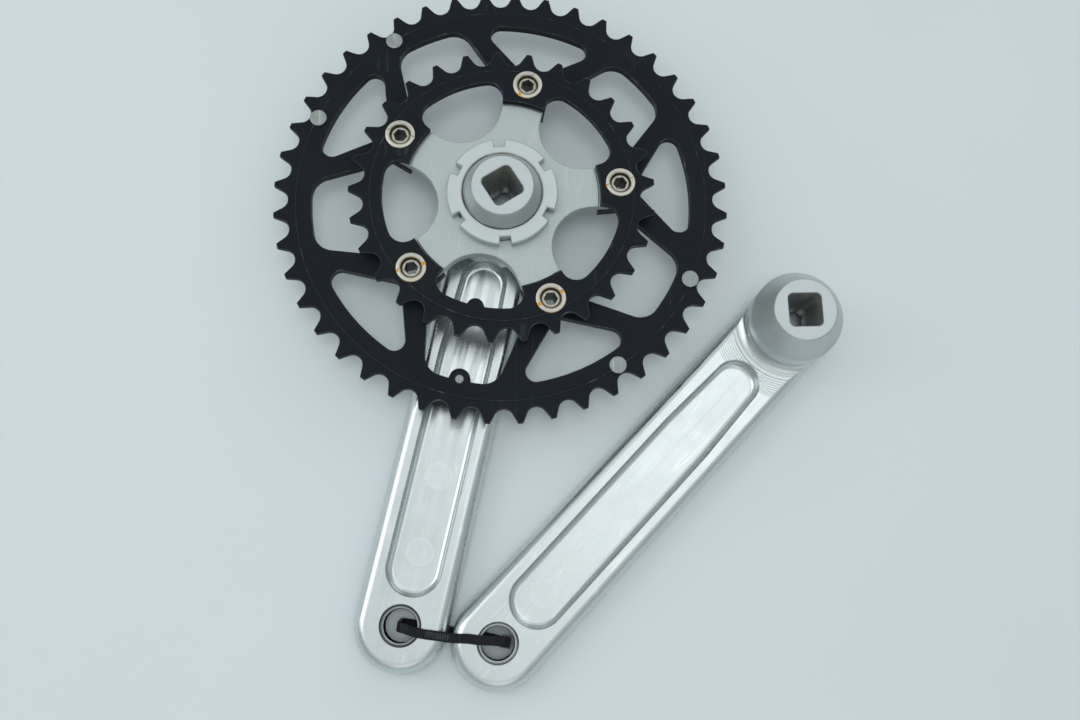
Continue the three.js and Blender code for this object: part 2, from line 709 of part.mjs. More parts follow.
function shiftPin() {
  const headTop = spiderBase + shiftPinHeadHeight;
  return turning([
    [0, outerPlateBase],
    [shiftPinShankRadius, outerPlateBase],
    [shiftPinShankRadius, spiderBase],
    [shiftPinHeadRadius, spiderBase],
    [shiftPinHeadRadius, headTop - smallChamfer / 2],
    [shiftPinHeadRadius - smallChamfer / 2, headTop],
    [0, headTop],
  ], 16);
}

function chainPin() {
  const end = armThickness + chainPinToArm;
  return turning([
    [0, end],
    [chainPinRadius - smallChamfer / 2, end],
    [chainPinRadius, end + smallChamfer / 2],
    [chainPinRadius, spiderBase],
    [0, spiderBase],
  ], 16);
}

// ---- Tie ----

// The tie in a side view: x runs from the right pedal axis to the left one, y is height.
// It starts in its head, runs under both arms, turns up in the right pedal hole, comes
// back over both arms and drops through the head in the left hole.
function tieRoute() {
  const low = tieFloorGap + tieThickness / 2;
  const high = armThickness + tieGap + tieThickness / 2;
  const start = new THREE.Vector2(tieRootX, tieHeadBase + tieHeadHeight / 2);
  const corners = [[tieRootX, low], [-tieTurnOffset, low], [-tieTurnOffset, high], [tieSlotX, high]];
  const end = new THREE.Vector2(tieSlotX, tieHeadBase - tieTail);
  const route = [start, ...corners.map(([x, y]) => new THREE.Vector2(x, y)), end];
  return route.flatMap((point, i) => {
    const inside = i > 0 && i < route.length - 1;
    return inside ? roundedCorner(route[i - 1], point, route[i + 1], tieBend, 22.5) : [point];
  });
}

// A band of the tie's thickness along the route.
function bandOutline(route) {
  const sides = route.map((point, i) => {
    const before = route[Math.max(i - 1, 0)];
    const after = route[Math.min(i + 1, route.length - 1)];
    const along = after.clone().sub(before).normalize();
    const across = new THREE.Vector2(-along.y, along.x).multiplyScalar(tieThickness / 2);
    return [point.clone().add(across), point.clone().sub(across)];
  });
  return [...sides.map(([left]) => left), ...sides.map(([, right]) => right).reverse()];
}

// A block in the tie's side view, from one corner to the other, this wide across.
function tieBlock(fromX, toX, fromY, toY, width) {
  const box = new THREE.BoxGeometry(toX - fromX, toY - fromY, width);
  box.translate((fromX + toX) / 2, (fromY + toY) / 2, 0);
  return solid(box);
}

function cableTie() {
  const shape = new THREE.Shape(bandOutline(tieRoute()));
  const bandGeometry = new THREE.ExtrudeGeometry(shape, { depth: tieWidth, bevelEnabled: false });
  bandGeometry.translate(0, 0, -tieWidth / 2);
  const headTop = tieHeadBase + tieHeadHeight;
  const head = tieBlock(tieHeadStart, tieHeadStart + tieHeadLength, tieHeadBase, headTop, tieHeadWidth);
  const halfSlot = tieThickness / 2 + tieSlotGap;
  const slot = tieBlock(tieSlotX - halfSlot, tieSlotX + halfSlot, tieHeadBase - past, headTop + past,
    tieWidth + 2 * tieSlotGap);
  const flat = head.subtract(slot).add(solid(bandGeometry));
  // The side view's height becomes Z, and each run is moved aside by half of the skew.
  return flat.warp((point) => {
    const [along, height, across] = point;
    point[0] = along;
    point[1] = -across + tieSkew / 2 - tieSkew * height / armThickness;
    point[2] = height;
  });
}

// ---- Assembly ----

function placed(object, position, angle) {
  object.position.set(position.x, position.y, 0);
  object.rotation.z = rad(angle);
  return object;
}

// The left arm's heading from its pedal axis, which keeps its boss clear of the chainring's
// teeth: a triangle of the two spindle axes, which start at the origin, and the left pedal axis.
function leftArmHeading() {
  const toRightSpindle = leftPedalAxis.clone().negate();
  const side = toRightSpindle.length();
  const apart = pitchRadius(outerTeeth) + tipHeight + leftWallRadius + bossToTeeth;
  const cosine = (side ** 2 + crankLength ** 2 - apart ** 2) / (2 * side * crankLength);
  return THREE.MathUtils.radToDeg(toRightSpindle.angle() - Math.acos(cosine));
}

const rightPedalAxis = polar(crankLength, rightArmAngle + 180);
const leftPedalAxis = polar(tieSpan, tieAngle).add(rightPedalAxis);
const leftArmAngle = leftArmHeading();
const leftSpindleAxis = polar(crankLength, leftArmAngle).add(leftPedalAxis);

const crankset = new THREE.Group();
const origin = new THREE.Vector2();
crankset.add(placed(mesh('right_crank_arm', rightCrankArm(), armAlloy), origin, rightArmAngle - 90));
crankset.add(placed(mesh('left_crank_arm', crankArm(leftBoss()), armAlloy), leftSpindleAxis, leftArmAngle - 90));
crankset.add(mesh('spider', spider(), spiderAlloy));
crankset.add(mesh('lockring', lockring(), lockringAlloy));
crankset.add(mesh('outer_chainring', outerChainring(), blackAnodised));
crankset.add(mesh('inner_chainring', innerChainring(), blackAnodised));
boltAngles.forEach((angle, i) => {
  const centre = polar(boltCircleRadius, angle);
  crankset.add(placed(mesh(`chainring_bolt_${i + 1}`, chainringBolt(), nickelSteel), centre, 0));
  crankset.add(placed(mesh(`chainring_nut_${i + 1}`, chainringNut(nutSlotAngles[i]), nickelSteel), centre, 0));
});
shiftPinCentres().forEach((centre, i) => {
  crankset.add(placed(mesh(`shift_pin_${i + 1}`, shiftPin(), pinSteel), centre, 0));
});
crankset.add(placed(mesh('chain_drop_pin', chainPin(), pinSteel), chainPinCentre(), 0));
crankset.add(placed(mesh('cable_tie', cableTie(), blackNylon), rightPedalAxis, tieAngle));

// The group's origin is the middle of the crankset's base.
const box = new THREE.Box3().setFromObject(crankset, true);
crankset.position.set(-(box.min.x + box.max.x) / 2, -(box.min.y + box.max.y) / 2, -box.min.z);
crankset.updateMatrixWorld(true);

export default crankset;
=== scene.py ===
"""A double chainring bicycle crankset laid outer face down: two crank arms, a spider with its
lockring, two chainrings with their nuts, bolts and pins, and the nylon tie that joins the arms.

Pieces are drawn in millimetres about their own axis, then put in the row frame in metres.
A crank arm is drawn with its spindle axis at the origin and its pedal hole towards -Y.
"""

import json
import math

import bmesh
import bpy
from mathutils import Matrix, Vector, geometry


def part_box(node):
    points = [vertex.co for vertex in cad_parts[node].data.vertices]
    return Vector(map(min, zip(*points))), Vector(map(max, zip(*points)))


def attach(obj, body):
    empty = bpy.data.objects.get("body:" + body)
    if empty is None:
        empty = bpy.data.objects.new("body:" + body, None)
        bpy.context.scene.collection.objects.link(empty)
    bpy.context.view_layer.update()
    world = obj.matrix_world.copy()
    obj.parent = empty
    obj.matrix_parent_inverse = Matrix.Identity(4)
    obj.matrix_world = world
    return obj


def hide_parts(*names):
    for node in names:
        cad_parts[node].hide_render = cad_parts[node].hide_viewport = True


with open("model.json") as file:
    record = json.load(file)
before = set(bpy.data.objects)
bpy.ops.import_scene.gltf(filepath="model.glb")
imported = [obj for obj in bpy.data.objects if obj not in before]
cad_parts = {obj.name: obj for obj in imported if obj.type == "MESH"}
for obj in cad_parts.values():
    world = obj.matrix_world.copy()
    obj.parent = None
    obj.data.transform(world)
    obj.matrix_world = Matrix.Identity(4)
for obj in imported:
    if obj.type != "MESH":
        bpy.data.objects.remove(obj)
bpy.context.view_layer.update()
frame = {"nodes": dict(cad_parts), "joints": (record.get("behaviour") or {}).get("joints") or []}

MM = 0.001

# ---- Sizes in millimetres: crank arms ----

ARM_WIDTH = 35.4
INNER_EDGE_WIDTH = 4.4            # rounded edge of the inner face, in plan
INNER_EDGE_DEPTH = 6.2
OUTER_EDGE_RADIUS = 3.0
EYE_RELIEF = 2.0                  # step of the outer face round the pedal hole
EYE_RELIEF_LENGTH = 30.0
EYE_RELIEF_RAMP = 22.0
POCKET_WIDTH = 21.2
POCKET_HEAD_WIDTH = 18.4
POCKET_DEPTH = 5.0
POCKET_FILLET_WIDTH = 2.6
POCKET_FILLET_DEPTH = 3.4
POCKET_BOSS_WALL = 6.2            # spindle boss to pocket
POCKET_EYE_WALL = 11.0            # pocket to pedal axis
POCKET_FLARE = 30.0
POCKET_LIP = 0.25                 # broken edge round the pocket
FLOOR_PASS = 5.4                  # width of a cutter's pass along the pocket's floor
DWELL_RADIUS = 4.8                # round marks where the cutter dwelt
LEFT_DWELLS = (145.0, 128.0, 99.0)    # spindle axis to each of them
RIGHT_DWELLS = (112.0, 142.0)
PEDAL_LIP_RADIUS = 7.15           # inside edge of the seat's bevel
PEDAL_BORE_RADIUS = 6.75          # to the bottom of the thread
PEDAL_THREAD_RADIUS = 6.3         # to the thread's crests
PEDAL_THREAD_PITCH = 1.27
PEDAL_SEAT_RADIUS = 7.95
PEDAL_SEAT_DEPTH = 0.8
BOSS_FACE_RADIUS = 12.2
BOSS_CONE_ANGLE = 27.6
BOSS_CHAMFER = 0.35
BOSS_PROUD = 0.3
BOSS_FOOT_RADIUS = 4.0            # hollow curve at the foot of the left boss
BOSS_FOOT_SPREAD = 31.0           # how far the cutter's marks run out over the arm
BOSS_FOOT_BAND = 23.3             # outside edge of the plain band round the foot
TAPER_MOUTH = 13.1
TAPER_ANGLE = 2.0
TAPER_CORNER = 2.2
TAPER_LIP = 0.3
EXTRACTOR_RADIUS = 11.0           # to the bottom of the thread
EXTRACTOR_THREAD_RADIUS = 10.4
EXTRACTOR_THREAD_PITCH = 1.0
EXTRACTOR_DEPTH = 11.5
CUSP_PITCH = 0.95                 # tool marks round the left boss's foot
CUSP_DEPTH = 0.12
FOOT_TAPER = ((3.0, 0.1), (8.0, 0.9), (13.0, 2.3), (18.0, 3.4), (24.0, 3.9), (45.0, 3.9))   # distance, inset

# ---- Chainrings, spider and lockring ----

CHAIN_PITCH = 12.7
ROLLER_SEAT_RADIUS = 3.97
ROOT_DEPTH = 3.88
TIP_HEIGHT = 1.8
TIP_WIDTH = 2.0
SEAT_ARC = 62.0                   # half of the arc that a roller rests in
TOOTH_THICKNESS = 2.2
TOOTH_SETBACK = 0.5
TOOTH_CHAMFER = 0.3
OUTER_TEETH = 44
INNER_TEETH = 29
OUTER_TOOTH_ANGLE = 5.67
INNER_TOOTH_ANGLE = 6.14
OUTER_PLATE_EDGE = 3.0            # root circle to the plate's edge
INNER_PLATE_EDGE = 2.6
OUTER_RIM_WIDTH = 9.4             # root circle to the windows
INNER_RIM_WIDTH = 7.6
PLATE_CHAMFER = 0.28
BOLT_COUNT = 5
OUTER_TAB_REACH = 8.5
OUTER_TAB_WIDTH = 17.4
SPOKE_INNER_ANGLE = 54.0
SPOKE_OUTER_ANGLE = 47.0
SPOKE_APEX = 6.0
WINDOW_TIP_RADIUS = 3.6
WINDOW_CORNER_RADIUS = 4.2
OPENING_CORNER_RADIUS = 8.0
INNER_TAB_REACH = 8.0
INNER_TAB_WIDTH = 16.6
INNER_TAB_FLARE = 10.0
INNER_OPENING_CORNER = 6.0
SPIDER_TAB_WIDTH = 16.2
SPIDER_TAB_REACH = 6.5
SPIDER_TAB_CORNER = 5.0
SPIDER_SCALLOP_INSET = 5.0
SPIDER_SHELF_GAP = 0.6
SPIDER_CHAMFER = 0.3
SPLINE_COUNT = 10
SPLINE_INSET = 1.7
SPLINE_HEIGHT = 1.6
SPLINE_ROOT_SHARE = 0.64
SPLINE_TIP_SHARE = 0.4
SHOULDER_INSET = 0.3
LOCKRING_WIDTH = 6.0
LOCKRING_NOTCHES = 6
LOCKRING_NOTCH_WIDTH = 4.8
LOCKRING_NOTCH_DEPTH = 3.0
LOCKRING_NOTCH_ANGLE = 34.6
LOCKRING_CHAMFER = 0.35

# ---- Fasteners, pins and tie ----

BOLT_SHANK_RADIUS = 4.0
NUT_WALL = 0.8
NUT_OVERHANG = 0.9
NUT_FLANGE_THICKNESS = 1.5
NUT_SEAT_DEPTH = 0.8              # counterbore in the inner chainring
NUT_SLOT_WIDTH = 1.3
NUT_SLOT_DEPTH = 0.5
NUT_SLOT_ANGLES = (18, 55, -15, 17, 31)
NUT_RUST = (0.1, 0.45, 0.15, 0.75, 1.0)   # how far rust has got into each nut
BOLT_OVERHANG = 1.0
BOLT_SUNK = 1.5                   # nut's face down to the bolt's end
BOLT_HEAD_THICKNESS = 1.5
BOLT_SEAT_DEPTH = 1.1             # counterbore in the outer chainring
BOLT_HEX_FLATS = 4.9
HEX_TURNS = (8, 22, -10, 14, 3)
SHIFT_PIN_SETBACK = 3.7
SHIFT_PIN_HEAD_RADIUS = 3.4
SHIFT_PIN_SHANK_RADIUS = 1.8
CHAIN_PIN_ANGLE = 258.5
CHAIN_PIN_RADIUS = 1.7
CHAIN_PIN_SETBACK = 0.5
CHAIN_PIN_LOBE = 4.2
ALIGNMENT_LOBE = 3.4
RAMP_RADIUS = 81.8                # inside edge of the shift ramp
RAMP_ANGLES = (242.6, 258.0)
RAMP_DEPTH = 0.55
SPOKE_STEP_ANGLE = 312.6          # the milled step across a spoke
TIE_WIDTH = 3.6
TIE_THICKNESS = 1.2
TIE_SKEW = 2.2                    # sideways step between the upper and lower runs
TIE_HEAD_LENGTH = 4.8
TIE_HEAD_WIDTH = 4.8
TIE_HEAD_HEIGHT = 4.5
TIE_HEAD_BASE = 4.6
TIE_HEAD_TO_BORE = 1.7
TIE_ROOT_INSET = 1.0
TIE_SLOT_INSET = 3.4
TIE_TAIL = 2.0
TIE_TURN_OFFSET = 0.6
TIE_BEND = 2.2
TIE_GAP = 0.4
TIE_FLOOR_GAP = 0.3
TIE_RIB_COUNT = 10
TIE_RIB_SPACING = 0.9
TIE_RIB_START = 10.0              # right pedal axis to the first rib on the upper run
TIE_BOW = ((-2, -0.4), (8, -1.4), (18, -1.1), (28, -0.1), (38, 0.9), (44, 1.0))   # upper run's line

FIT_GAP = 0.3
HOLE_GAP = 0.2
PAST = 2.0                        # how far a cutter runs past what it cuts

# ---- Places and heights from the frame ----


def bottom(node):
    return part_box(node)[0].z / MM


def top(node):
    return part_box(node)[1].z / MM


def middle(node):
    low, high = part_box(node)
    return (low + high).xy / 2 / MM


def joint_axis(name):
    joint = next(joint for joint in frame["joints"] if joint["name"] == name)
    return Vector(joint["pos_m"]).xy / MM


def boss_axis(node):
    """The axis of an arm's spindle boss, from the ring of points round its end face."""
    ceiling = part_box(node)[1].z - 0.1 * MM
    face = [vertex.co.xy for vertex in frame["nodes"][node].data.vertices if vertex.co.z > ceiling]
    low = Vector((min(point.x for point in face), min(point.y for point in face)))
    high = Vector((max(point.x for point in face), max(point.y for point in face)))
    return (low + high) / 2 / MM


def heading(start, end):
    return math.degrees(math.atan2(end.y - start.y, end.x - start.x))


right_spindle = boss_axis("right_crank_arm")
left_spindle = boss_axis("left_crank_arm")
right_pedal = joint_axis("tie_swing")
left_pedal = joint_axis("left_arm_swing")
right_turn = heading(right_pedal, right_spindle) - 90
left_turn = heading(left_pedal, left_spindle) - 90
crank_length = (right_spindle - right_pedal).length
bolt_centres = [middle(f"chainring_nut_{i + 1}") - right_spindle for i in range(BOLT_COUNT)]
bolt_circle = bolt_centres[0].length
first_bolt_angle = heading(Vector((0, 0)), bolt_centres[0])
shift_pin_centres = [middle(f"shift_pin_{i + 1}") - right_spindle for i in range(4)]

arm_half = ARM_WIDTH / 2
boss_height = top("left_crank_arm")
outer_base = bottom("outer_chainring")
outer_top = top("outer_chainring")
inner_base = bottom("inner_chainring")
inner_top = top("inner_chainring")
spider_base = bottom("spider")
spider_top = top("spider")
lockring_top = top("lockring")
arm_inner_face = outer_base - 4.4
cone_slope = math.tan(math.radians(BOSS_CONE_ANGLE))
neck_radius = BOSS_FACE_RADIUS + (boss_height - lockring_top) * cone_slope
lockring_bore = neck_radius + FIT_GAP
lockring_radius = lockring_bore + LOCKRING_WIDTH
shoulder_radius = lockring_radius - SHOULDER_INSET
spline_root = neck_radius + SPLINE_INSET
spline_tip = spline_root + SPLINE_HEIGHT
left_wall = arm_half + BOSS_PROUD
left_cone_base = boss_height - (left_wall - BOSS_FACE_RADIUS) / cone_slope
arm_side_top = arm_inner_face - INNER_EDGE_DEPTH - 0.01
nut_sleeve = BOLT_SHANK_RADIUS + HOLE_GAP + NUT_WALL
nut_flange = nut_sleeve + NUT_OVERHANG
bolt_head = nut_sleeve + BOLT_OVERHANG
sector = 180 / BOLT_COUNT

# ---- Outlines: lists of 2D points, anticlockwise ----


def polar(radius, degrees):
    return Vector((radius * math.cos(math.radians(degrees)), radius * math.sin(math.radians(degrees))))


def arc(centre, radius, start, end, step):
    count = max(1, math.ceil(abs(end - start) / step))
    return [Vector(centre) + polar(radius, start + (end - start) * i / count) for i in range(count + 1)]


def circle(radius, count=96, centre=(0, 0)):
    return [Vector(centre) + polar(radius, 360 * i / count) for i in range(count)]


def turned(points, degrees):
    turn = Matrix.Rotation(math.radians(degrees), 2)
    return [turn @ point for point in points]


def mirrored(points):
    return [Vector((point.x, -point.y)) for point in reversed(points)]


def repeated(points, count, first):
    return [point for i in range(count) for point in turned(points, first + 360 * i / count)]


def rounded_corner(before, corner, after, radius, step):
    inward = (before - corner).normalized()
    outward = (after - corner).normalized()
    half = math.acos(max(-1, min(1, inward.dot(outward)))) / 2
    bisector = (inward + outward).normalized()
    centre = corner + bisector * (radius / math.sin(half))
    start = corner + inward * (radius / math.tan(half)) - centre
    end = corner + outward * (radius / math.tan(half)) - centre
    first = math.degrees(math.atan2(start.y, start.x))
    cross = start.x * end.y - start.y * end.x
    turn = math.degrees(math.atan2(cross, start.dot(end)))
    return arc(centre, radius, first, first + turn, step)


def rounded(corners, radius, step):
    count = len(corners)
    return [point for i in range(count) for point in
            rounded_corner(corners[i - 1], corners[i], corners[(i + 1) % count], radius, step)]


def corner_on_circle(point, direction, corner_radius, circle_radius, step):
    """The arc between a side through the point and the circle about the origin, on the side's left."""
    along = polar(1, direction)
    left = polar(1, direction + 90)
    offset = point.dot(left) + corner_radius
    reach = math.sqrt((circle_radius - corner_radius) ** 2 - offset ** 2)
    centre = left * offset + along * reach
    on_circle = math.degrees(math.atan2(centre.y, centre.x))
    return arc(centre, corner_radius, direction - 90, on_circle, step)


def without_doubles(points, nearest=0.01):
    kept = []
    for point in points:
        if not kept or (point - kept[-1]).length > nearest:
            kept.append(point)
    while (kept[0] - kept[-1]).length < nearest:
        kept.pop()
    return kept


def inset(points, distance):
    """The outline moved inwards by a small distance, with mitred corners."""
    if distance == 0:
        return points
    moved = []
    for i, point in enumerate(points):
        before = (point - points[i - 1]).normalized()
        after = (points[(i + 1) % len(points)] - point).normalized()
        normal = Vector((-before.y - after.y, before.x + after.x)).normalized()
        mitre = max(0.5, normal.dot(Vector((-before.y, before.x))))
        moved.append(point + normal * (distance / mitre))
    return moved


# ---- Solids ----


class Shell:
    """A closed mesh in the making. Faces made with worn=True carry the edge mask, which drives edge wear and, on
    the chainrings, a painted highlight.
    """

    def __init__(self):
        self.mesh = bmesh.new()
        self.worn = self.mesh.faces.layers.float.new("worn")

    def loop(self, outline, height):
        return [self.mesh.verts.new((point.x, point.y, height)) for point in outline]

    def face(self, corners, worn=0.0):
        made = self.mesh.faces.new(corners)
        made[self.worn] = worn

    def wall(self, lower, upper, worn=0.0):
        """A band between two loops. It faces outwards where the loops are anticlockwise."""
        for i in range(len(lower)):
            j = (i + 1) % len(lower)
            self.face((lower[i], lower[j], upper[j], upper[i]), worn)

    def cap(self, loops, facing_up):
        """Fills the flat ground inside the first loop and outside the others."""
        corners = [vertex for loop in loops for vertex in loop]
        for triangle in geometry.tessellate_polygon([[vertex.co for vertex in loop] for loop in loops]):
            a, b, c = (corners[k] for k in triangle)
            area = (b.co.xy - a.co.xy).cross(c.co.xy - a.co.xy)
            if abs(area) > 1e-9:
                self.face((a, b, c) if (area > 0) == facing_up else (a, c, b))

    def prism(self, outline, profile, holes=(), hole_profile=None):
        """Walls that follow (inset, height, worn) steps from the base up, and both caps."""
        first, last = [], []
        for k, contour in enumerate([outline, *holes]):
            steps = profile if k == 0 else hole_profile or profile
            side = 1 if k == 0 else -1
            loops = [self.loop(inset(contour, side * amount), height) for amount, height, _ in steps]
            for lower, upper, step in zip(loops, loops[1:], steps[1:]):
                pair = (lower, upper) if side > 0 else (list(reversed(lower)), list(reversed(upper)))
                self.wall(*pair, worn=step[2])
            first.append(loops[0])
            last.append(loops[-1])
        self.cap(first, facing_up=False)
        self.cap(last, facing_up=True)

    def stack(self, loops):
        """A solid from loops of equal length, given as (outline, height) from the base up."""
        made = [self.loop(outline, height) for outline, height in loops]
        for lower, upper in zip(made, made[1:]):
            self.wall(lower, upper)
        self.cap([made[0]], facing_up=False)
        self.cap([made[-1]], facing_up=True)

    def turning(self, profile, segments, centre=(0, 0), closed=False):
        """A turned solid from (radius, height, worn) points, outside going up."""
        rings = []
        for radius, height, _ in profile:
            if radius < 1e-6:
                rings.append([self.mesh.verts.new((centre[0], centre[1], height))])
            else:
                rings.append(self.loop(circle(radius, segments, centre), height))
        pairs = list(zip(rings, rings[1:], profile[1:]))
        if closed:
            pairs.append((rings[-1], rings[0], profile[0]))
        for lower, upper, step in pairs:
            if len(lower) == 1 and len(upper) == 1:
                continue
            for i in range(segments):
                j = (i + 1) % segments
                if len(lower) == 1:
                    self.face((lower[0], upper[j], upper[i]), step[2])
                elif len(upper) == 1:
                    self.face((lower[i], lower[j], upper[0]), step[2])
                else:
                    self.face((lower[i], lower[j], upper[j], upper[i]), step[2])

    def made(self, name):
        bmesh.ops.remove_doubles(self.mesh, verts=self.mesh.verts, dist=1e-4)
        data = bpy.data.meshes.new(name)
        self.mesh.to_mesh(data)
        self.mesh.free()
        piece = bpy.data.objects.new(name, data)
        bpy.context.scene.collection.objects.link(piece)
        return piece


def chamfered(base, height, size):
    return [(size, base, 0), (0, base + size, 1), (0, height - size, 0), (size, height, 1)]


def prism(name, outline, profile, holes=(), hole_profile=None):
    shell = Shell()
    shell.prism(outline, profile, holes, hole_profile)
    return shell.made(name)


def turning(name, profile, segments=64, centre=(0, 0), closed=False):
    shell = Shell()
    steps = [(*point, 0) if len(point) == 2 else point for point in profile]
    shell.turning(steps, segments, centre, closed)
    return shell.made(name)


def cylinder(name, radius, base, height, segments=48, centre=(0, 0)):
    return turning(name, [(0, base), (radius, base), (radius, height), (0, height)], segments, centre)


def baked(piece):
    """The piece with its modifiers made part of its mesh."""
    shown = piece.evaluated_get(bpy.context.evaluated_depsgraph_get())
    data = bpy.data.meshes.new_from_object(shown)
    piece.modifiers.clear()
    old = piece.data
    piece.data = data
    bpy.data.meshes.remove(old)
    return piece


def joined(piece, others, operation):
    for other in others:
        boolean = piece.modifiers.new("join", "BOOLEAN")
        boolean.operation = operation
        boolean.solver = "MANIFOLD"
        boolean.object = other
    baked(piece)
    for other in others:
        remove(other)
    return piece


def remove(piece):
    data = piece.data
    bpy.data.objects.remove(piece)
    bpy.data.meshes.remove(data)


def gathered(piece, others):
    """The piece with the other shells put in the same mesh."""
    whole = bmesh.new()
    for part in (piece, *others):
        whole.from_mesh(part.data)
    whole.to_mesh(piece.data)
    whole.free()
    for other in others:
        remove(other)
    return piece


def smoothed(piece, angle=32):
    """Smooth shading with crisp corners and flat faces."""
    mesh = bmesh.new()
    mesh.from_mesh(piece.data)
    bmesh.ops.remove_doubles(mesh, verts=mesh.verts, dist=1e-3)
    bmesh.ops.dissolve_degenerate(mesh, edges=mesh.edges, dist=1e-3)
    for face in mesh.faces:
        face.smooth = True
    limit = math.radians(angle)
    for edge in mesh.edges:
        edge.smooth = len(edge.link_faces) == 2 and edge.calc_face_angle(0) < limit
    mesh.to_mesh(piece.data)
    mesh.free()
    weighted = piece.modifiers.new("flat faces", "WEIGHTED_NORMAL")
    weighted.keep_sharp = True
    weighted.weight = 50
    return baked(piece)


def marked(piece, name, amount):
    """Gives the whole piece one value that its material reads."""
    mark = piece.data.attributes.new(name, "FLOAT", "FACE")
    mark.data.foreach_set("value", [amount] * len(piece.data.polygons))


def placed(piece, centre, degrees=0):
    """Moves a piece drawn about its own axis to its place in the row frame, in metres."""
    turn = Matrix.Rotation(math.radians(degrees), 4, "Z")
    shift = Matrix.Translation((centre.x * MM, centre.y * MM, 0))
    piece.data.transform(shift @ turn @ Matrix.Scale(MM, 4))
    return piece


def settled(piece, material, body, slot, *nodes):
    piece.data.materials.clear()
    piece.data.materials.append(material)
    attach(piece, body)
    if nodes:
        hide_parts(*nodes)
    return piece


# ---- Geometry Nodes ----


def node_tree(name, inputs):
    """A geometry tree with a geometry input and output, and the named inputs given."""
    tree = bpy.data.node_groups.new(name, "GeometryNodeTree")
    tree.interface.new_socket("Geometry", in_out="INPUT", socket_type="NodeSocketGeometry")
    tree.interface.new_socket("Geometry", in_out="OUTPUT", socket_type="NodeSocketGeometry")
    for label, kind in inputs:
        tree.interface.new_socket(label, in_out="INPUT", socket_type=kind)
    return tree, tree.nodes.new("NodeGroupInput"), tree.nodes.new("NodeGroupOutput")


def finish_tree(tree, source, geometry_socket, output):
    """Ends a tree in Realize Instances and Set Material."""
    realize = tree.nodes.new("GeometryNodeRealizeInstances")
    paint = tree.nodes.new("GeometryNodeSetMaterial")
    tree.links.new(geometry_socket, realize.inputs["Geometry"])
    tree.links.new(realize.outputs["Geometry"], paint.inputs["Geometry"])
    tree.links.new(source.outputs["Material"], paint.inputs["Material"])
    tree.links.new(paint.outputs["Geometry"], output.inputs["Geometry"])


def math_node(tree, operation, first, second):
    made = tree.nodes.new("ShaderNodeMath")
    made.operation = operation
    for socket, value in zip(made.inputs, (first, second)):
        if isinstance(value, (int, float)):
            socket.default_value = value
        else:
            tree.links.new(value, socket)
    return made.outputs[0]


def round_pattern_tree():
    """Repeats its geometry round the Z axis."""
    tree, source, output = node_tree("round_pattern", [
        ("Count", "NodeSocketInt"), ("First Angle", "NodeSocketFloat"), ("Material", "NodeSocketMaterial")])
    points = tree.nodes.new("GeometryNodePoints")
    index = tree.nodes.new("GeometryNodeInputIndex")
    around = tree.nodes.new("ShaderNodeCombineXYZ")
    rotation = tree.nodes.new("FunctionNodeEulerToRotation")
    instances = tree.nodes.new("GeometryNodeInstanceOnPoints")
    tree.links.new(source.outputs["Count"], points.inputs["Count"])
    share = math_node(tree, "DIVIDE", 2 * math.pi, source.outputs["Count"])
    angle = math_node(tree, "MULTIPLY", index.outputs[0], share)
    tree.links.new(math_node(tree, "ADD", angle, source.outputs["First Angle"]), around.inputs["Z"])
    tree.links.new(around.outputs[0], rotation.inputs[0])
    tree.links.new(points.outputs[0], instances.inputs["Points"])
    tree.links.new(source.outputs["Geometry"], instances.inputs["Instance"])
    tree.links.new(rotation.outputs[0], instances.inputs["Rotation"])
    finish_tree(tree, source, instances.outputs[0], output)
    return tree


def row_pattern_tree():
    """Repeats its geometry in a straight row."""
    tree, source, output = node_tree("row_pattern", [
        ("Count", "NodeSocketInt"), ("Spacing", "NodeSocketVector"), ("Material", "NodeSocketMaterial")])
    line = tree.nodes.new("GeometryNodeMeshLine")
    instances = tree.nodes.new("GeometryNodeInstanceOnPoints")
    tree.links.new(source.outputs["Count"], line.inputs["Count"])
    tree.links.new(source.outputs["Spacing"], line.inputs["Offset"])
    tree.links.new(line.outputs[0], instances.inputs["Points"])
    tree.links.new(source.outputs["Geometry"], instances.inputs["Instance"])
    finish_tree(tree, source, instances.outputs[0], output)
    return tree


def thread_tree():
    """A thread's ridge: a three-sided section swept along a helix, its crest towards the axis."""
    tree, source, output = node_tree("screw_thread", [
        ("Radius", "NodeSocketFloat"), ("Length", "NodeSocketFloat"), ("Pitch", "NodeSocketFloat"),
        ("Ridge", "NodeSocketFloat"), ("Base", "NodeSocketFloat"), ("Material", "NodeSocketMaterial")])
    helix = tree.nodes.new("GeometryNodeCurveSpiral")
    helix.inputs["Resolution"].default_value = 48
    section = tree.nodes.new("GeometryNodeCurvePrimitiveCircle")
    section.inputs["Resolution"].default_value = 3
    sweep = tree.nodes.new("GeometryNodeCurveToMesh")
    sweep.inputs["Fill Caps"].default_value = True
    upright = tree.nodes.new("GeometryNodeSetCurveNormal")
    upright.mode = "Z_UP"
    lift = tree.nodes.new("GeometryNodeTransform")
    height = tree.nodes.new("ShaderNodeCombineXYZ")
    tree.links.new(math_node(tree, "DIVIDE", source.outputs["Length"], source.outputs["Pitch"]),
                   helix.inputs["Rotations"])
    tree.links.new(source.outputs["Radius"], helix.inputs["Start Radius"])
    tree.links.new(source.outputs["Radius"], helix.inputs["End Radius"])
    tree.links.new(source.outputs["Length"], helix.inputs["Height"])
    tree.links.new(source.outputs["Ridge"], section.inputs["Radius"])
    tree.links.new(helix.outputs[0], upright.inputs["Curve"])
    tree.links.new(upright.outputs[0], sweep.inputs["Curve"])
    tree.links.new(section.outputs[0], sweep.inputs["Profile Curve"])
    tree.links.new(source.outputs["Base"], height.inputs["Z"])
    tree.links.new(sweep.outputs[0], lift.inputs["Geometry"])
    tree.links.new(height.outputs[0], lift.inputs["Translation"])
    finish_tree(tree, source, lift.outputs[0], output)
    return tree


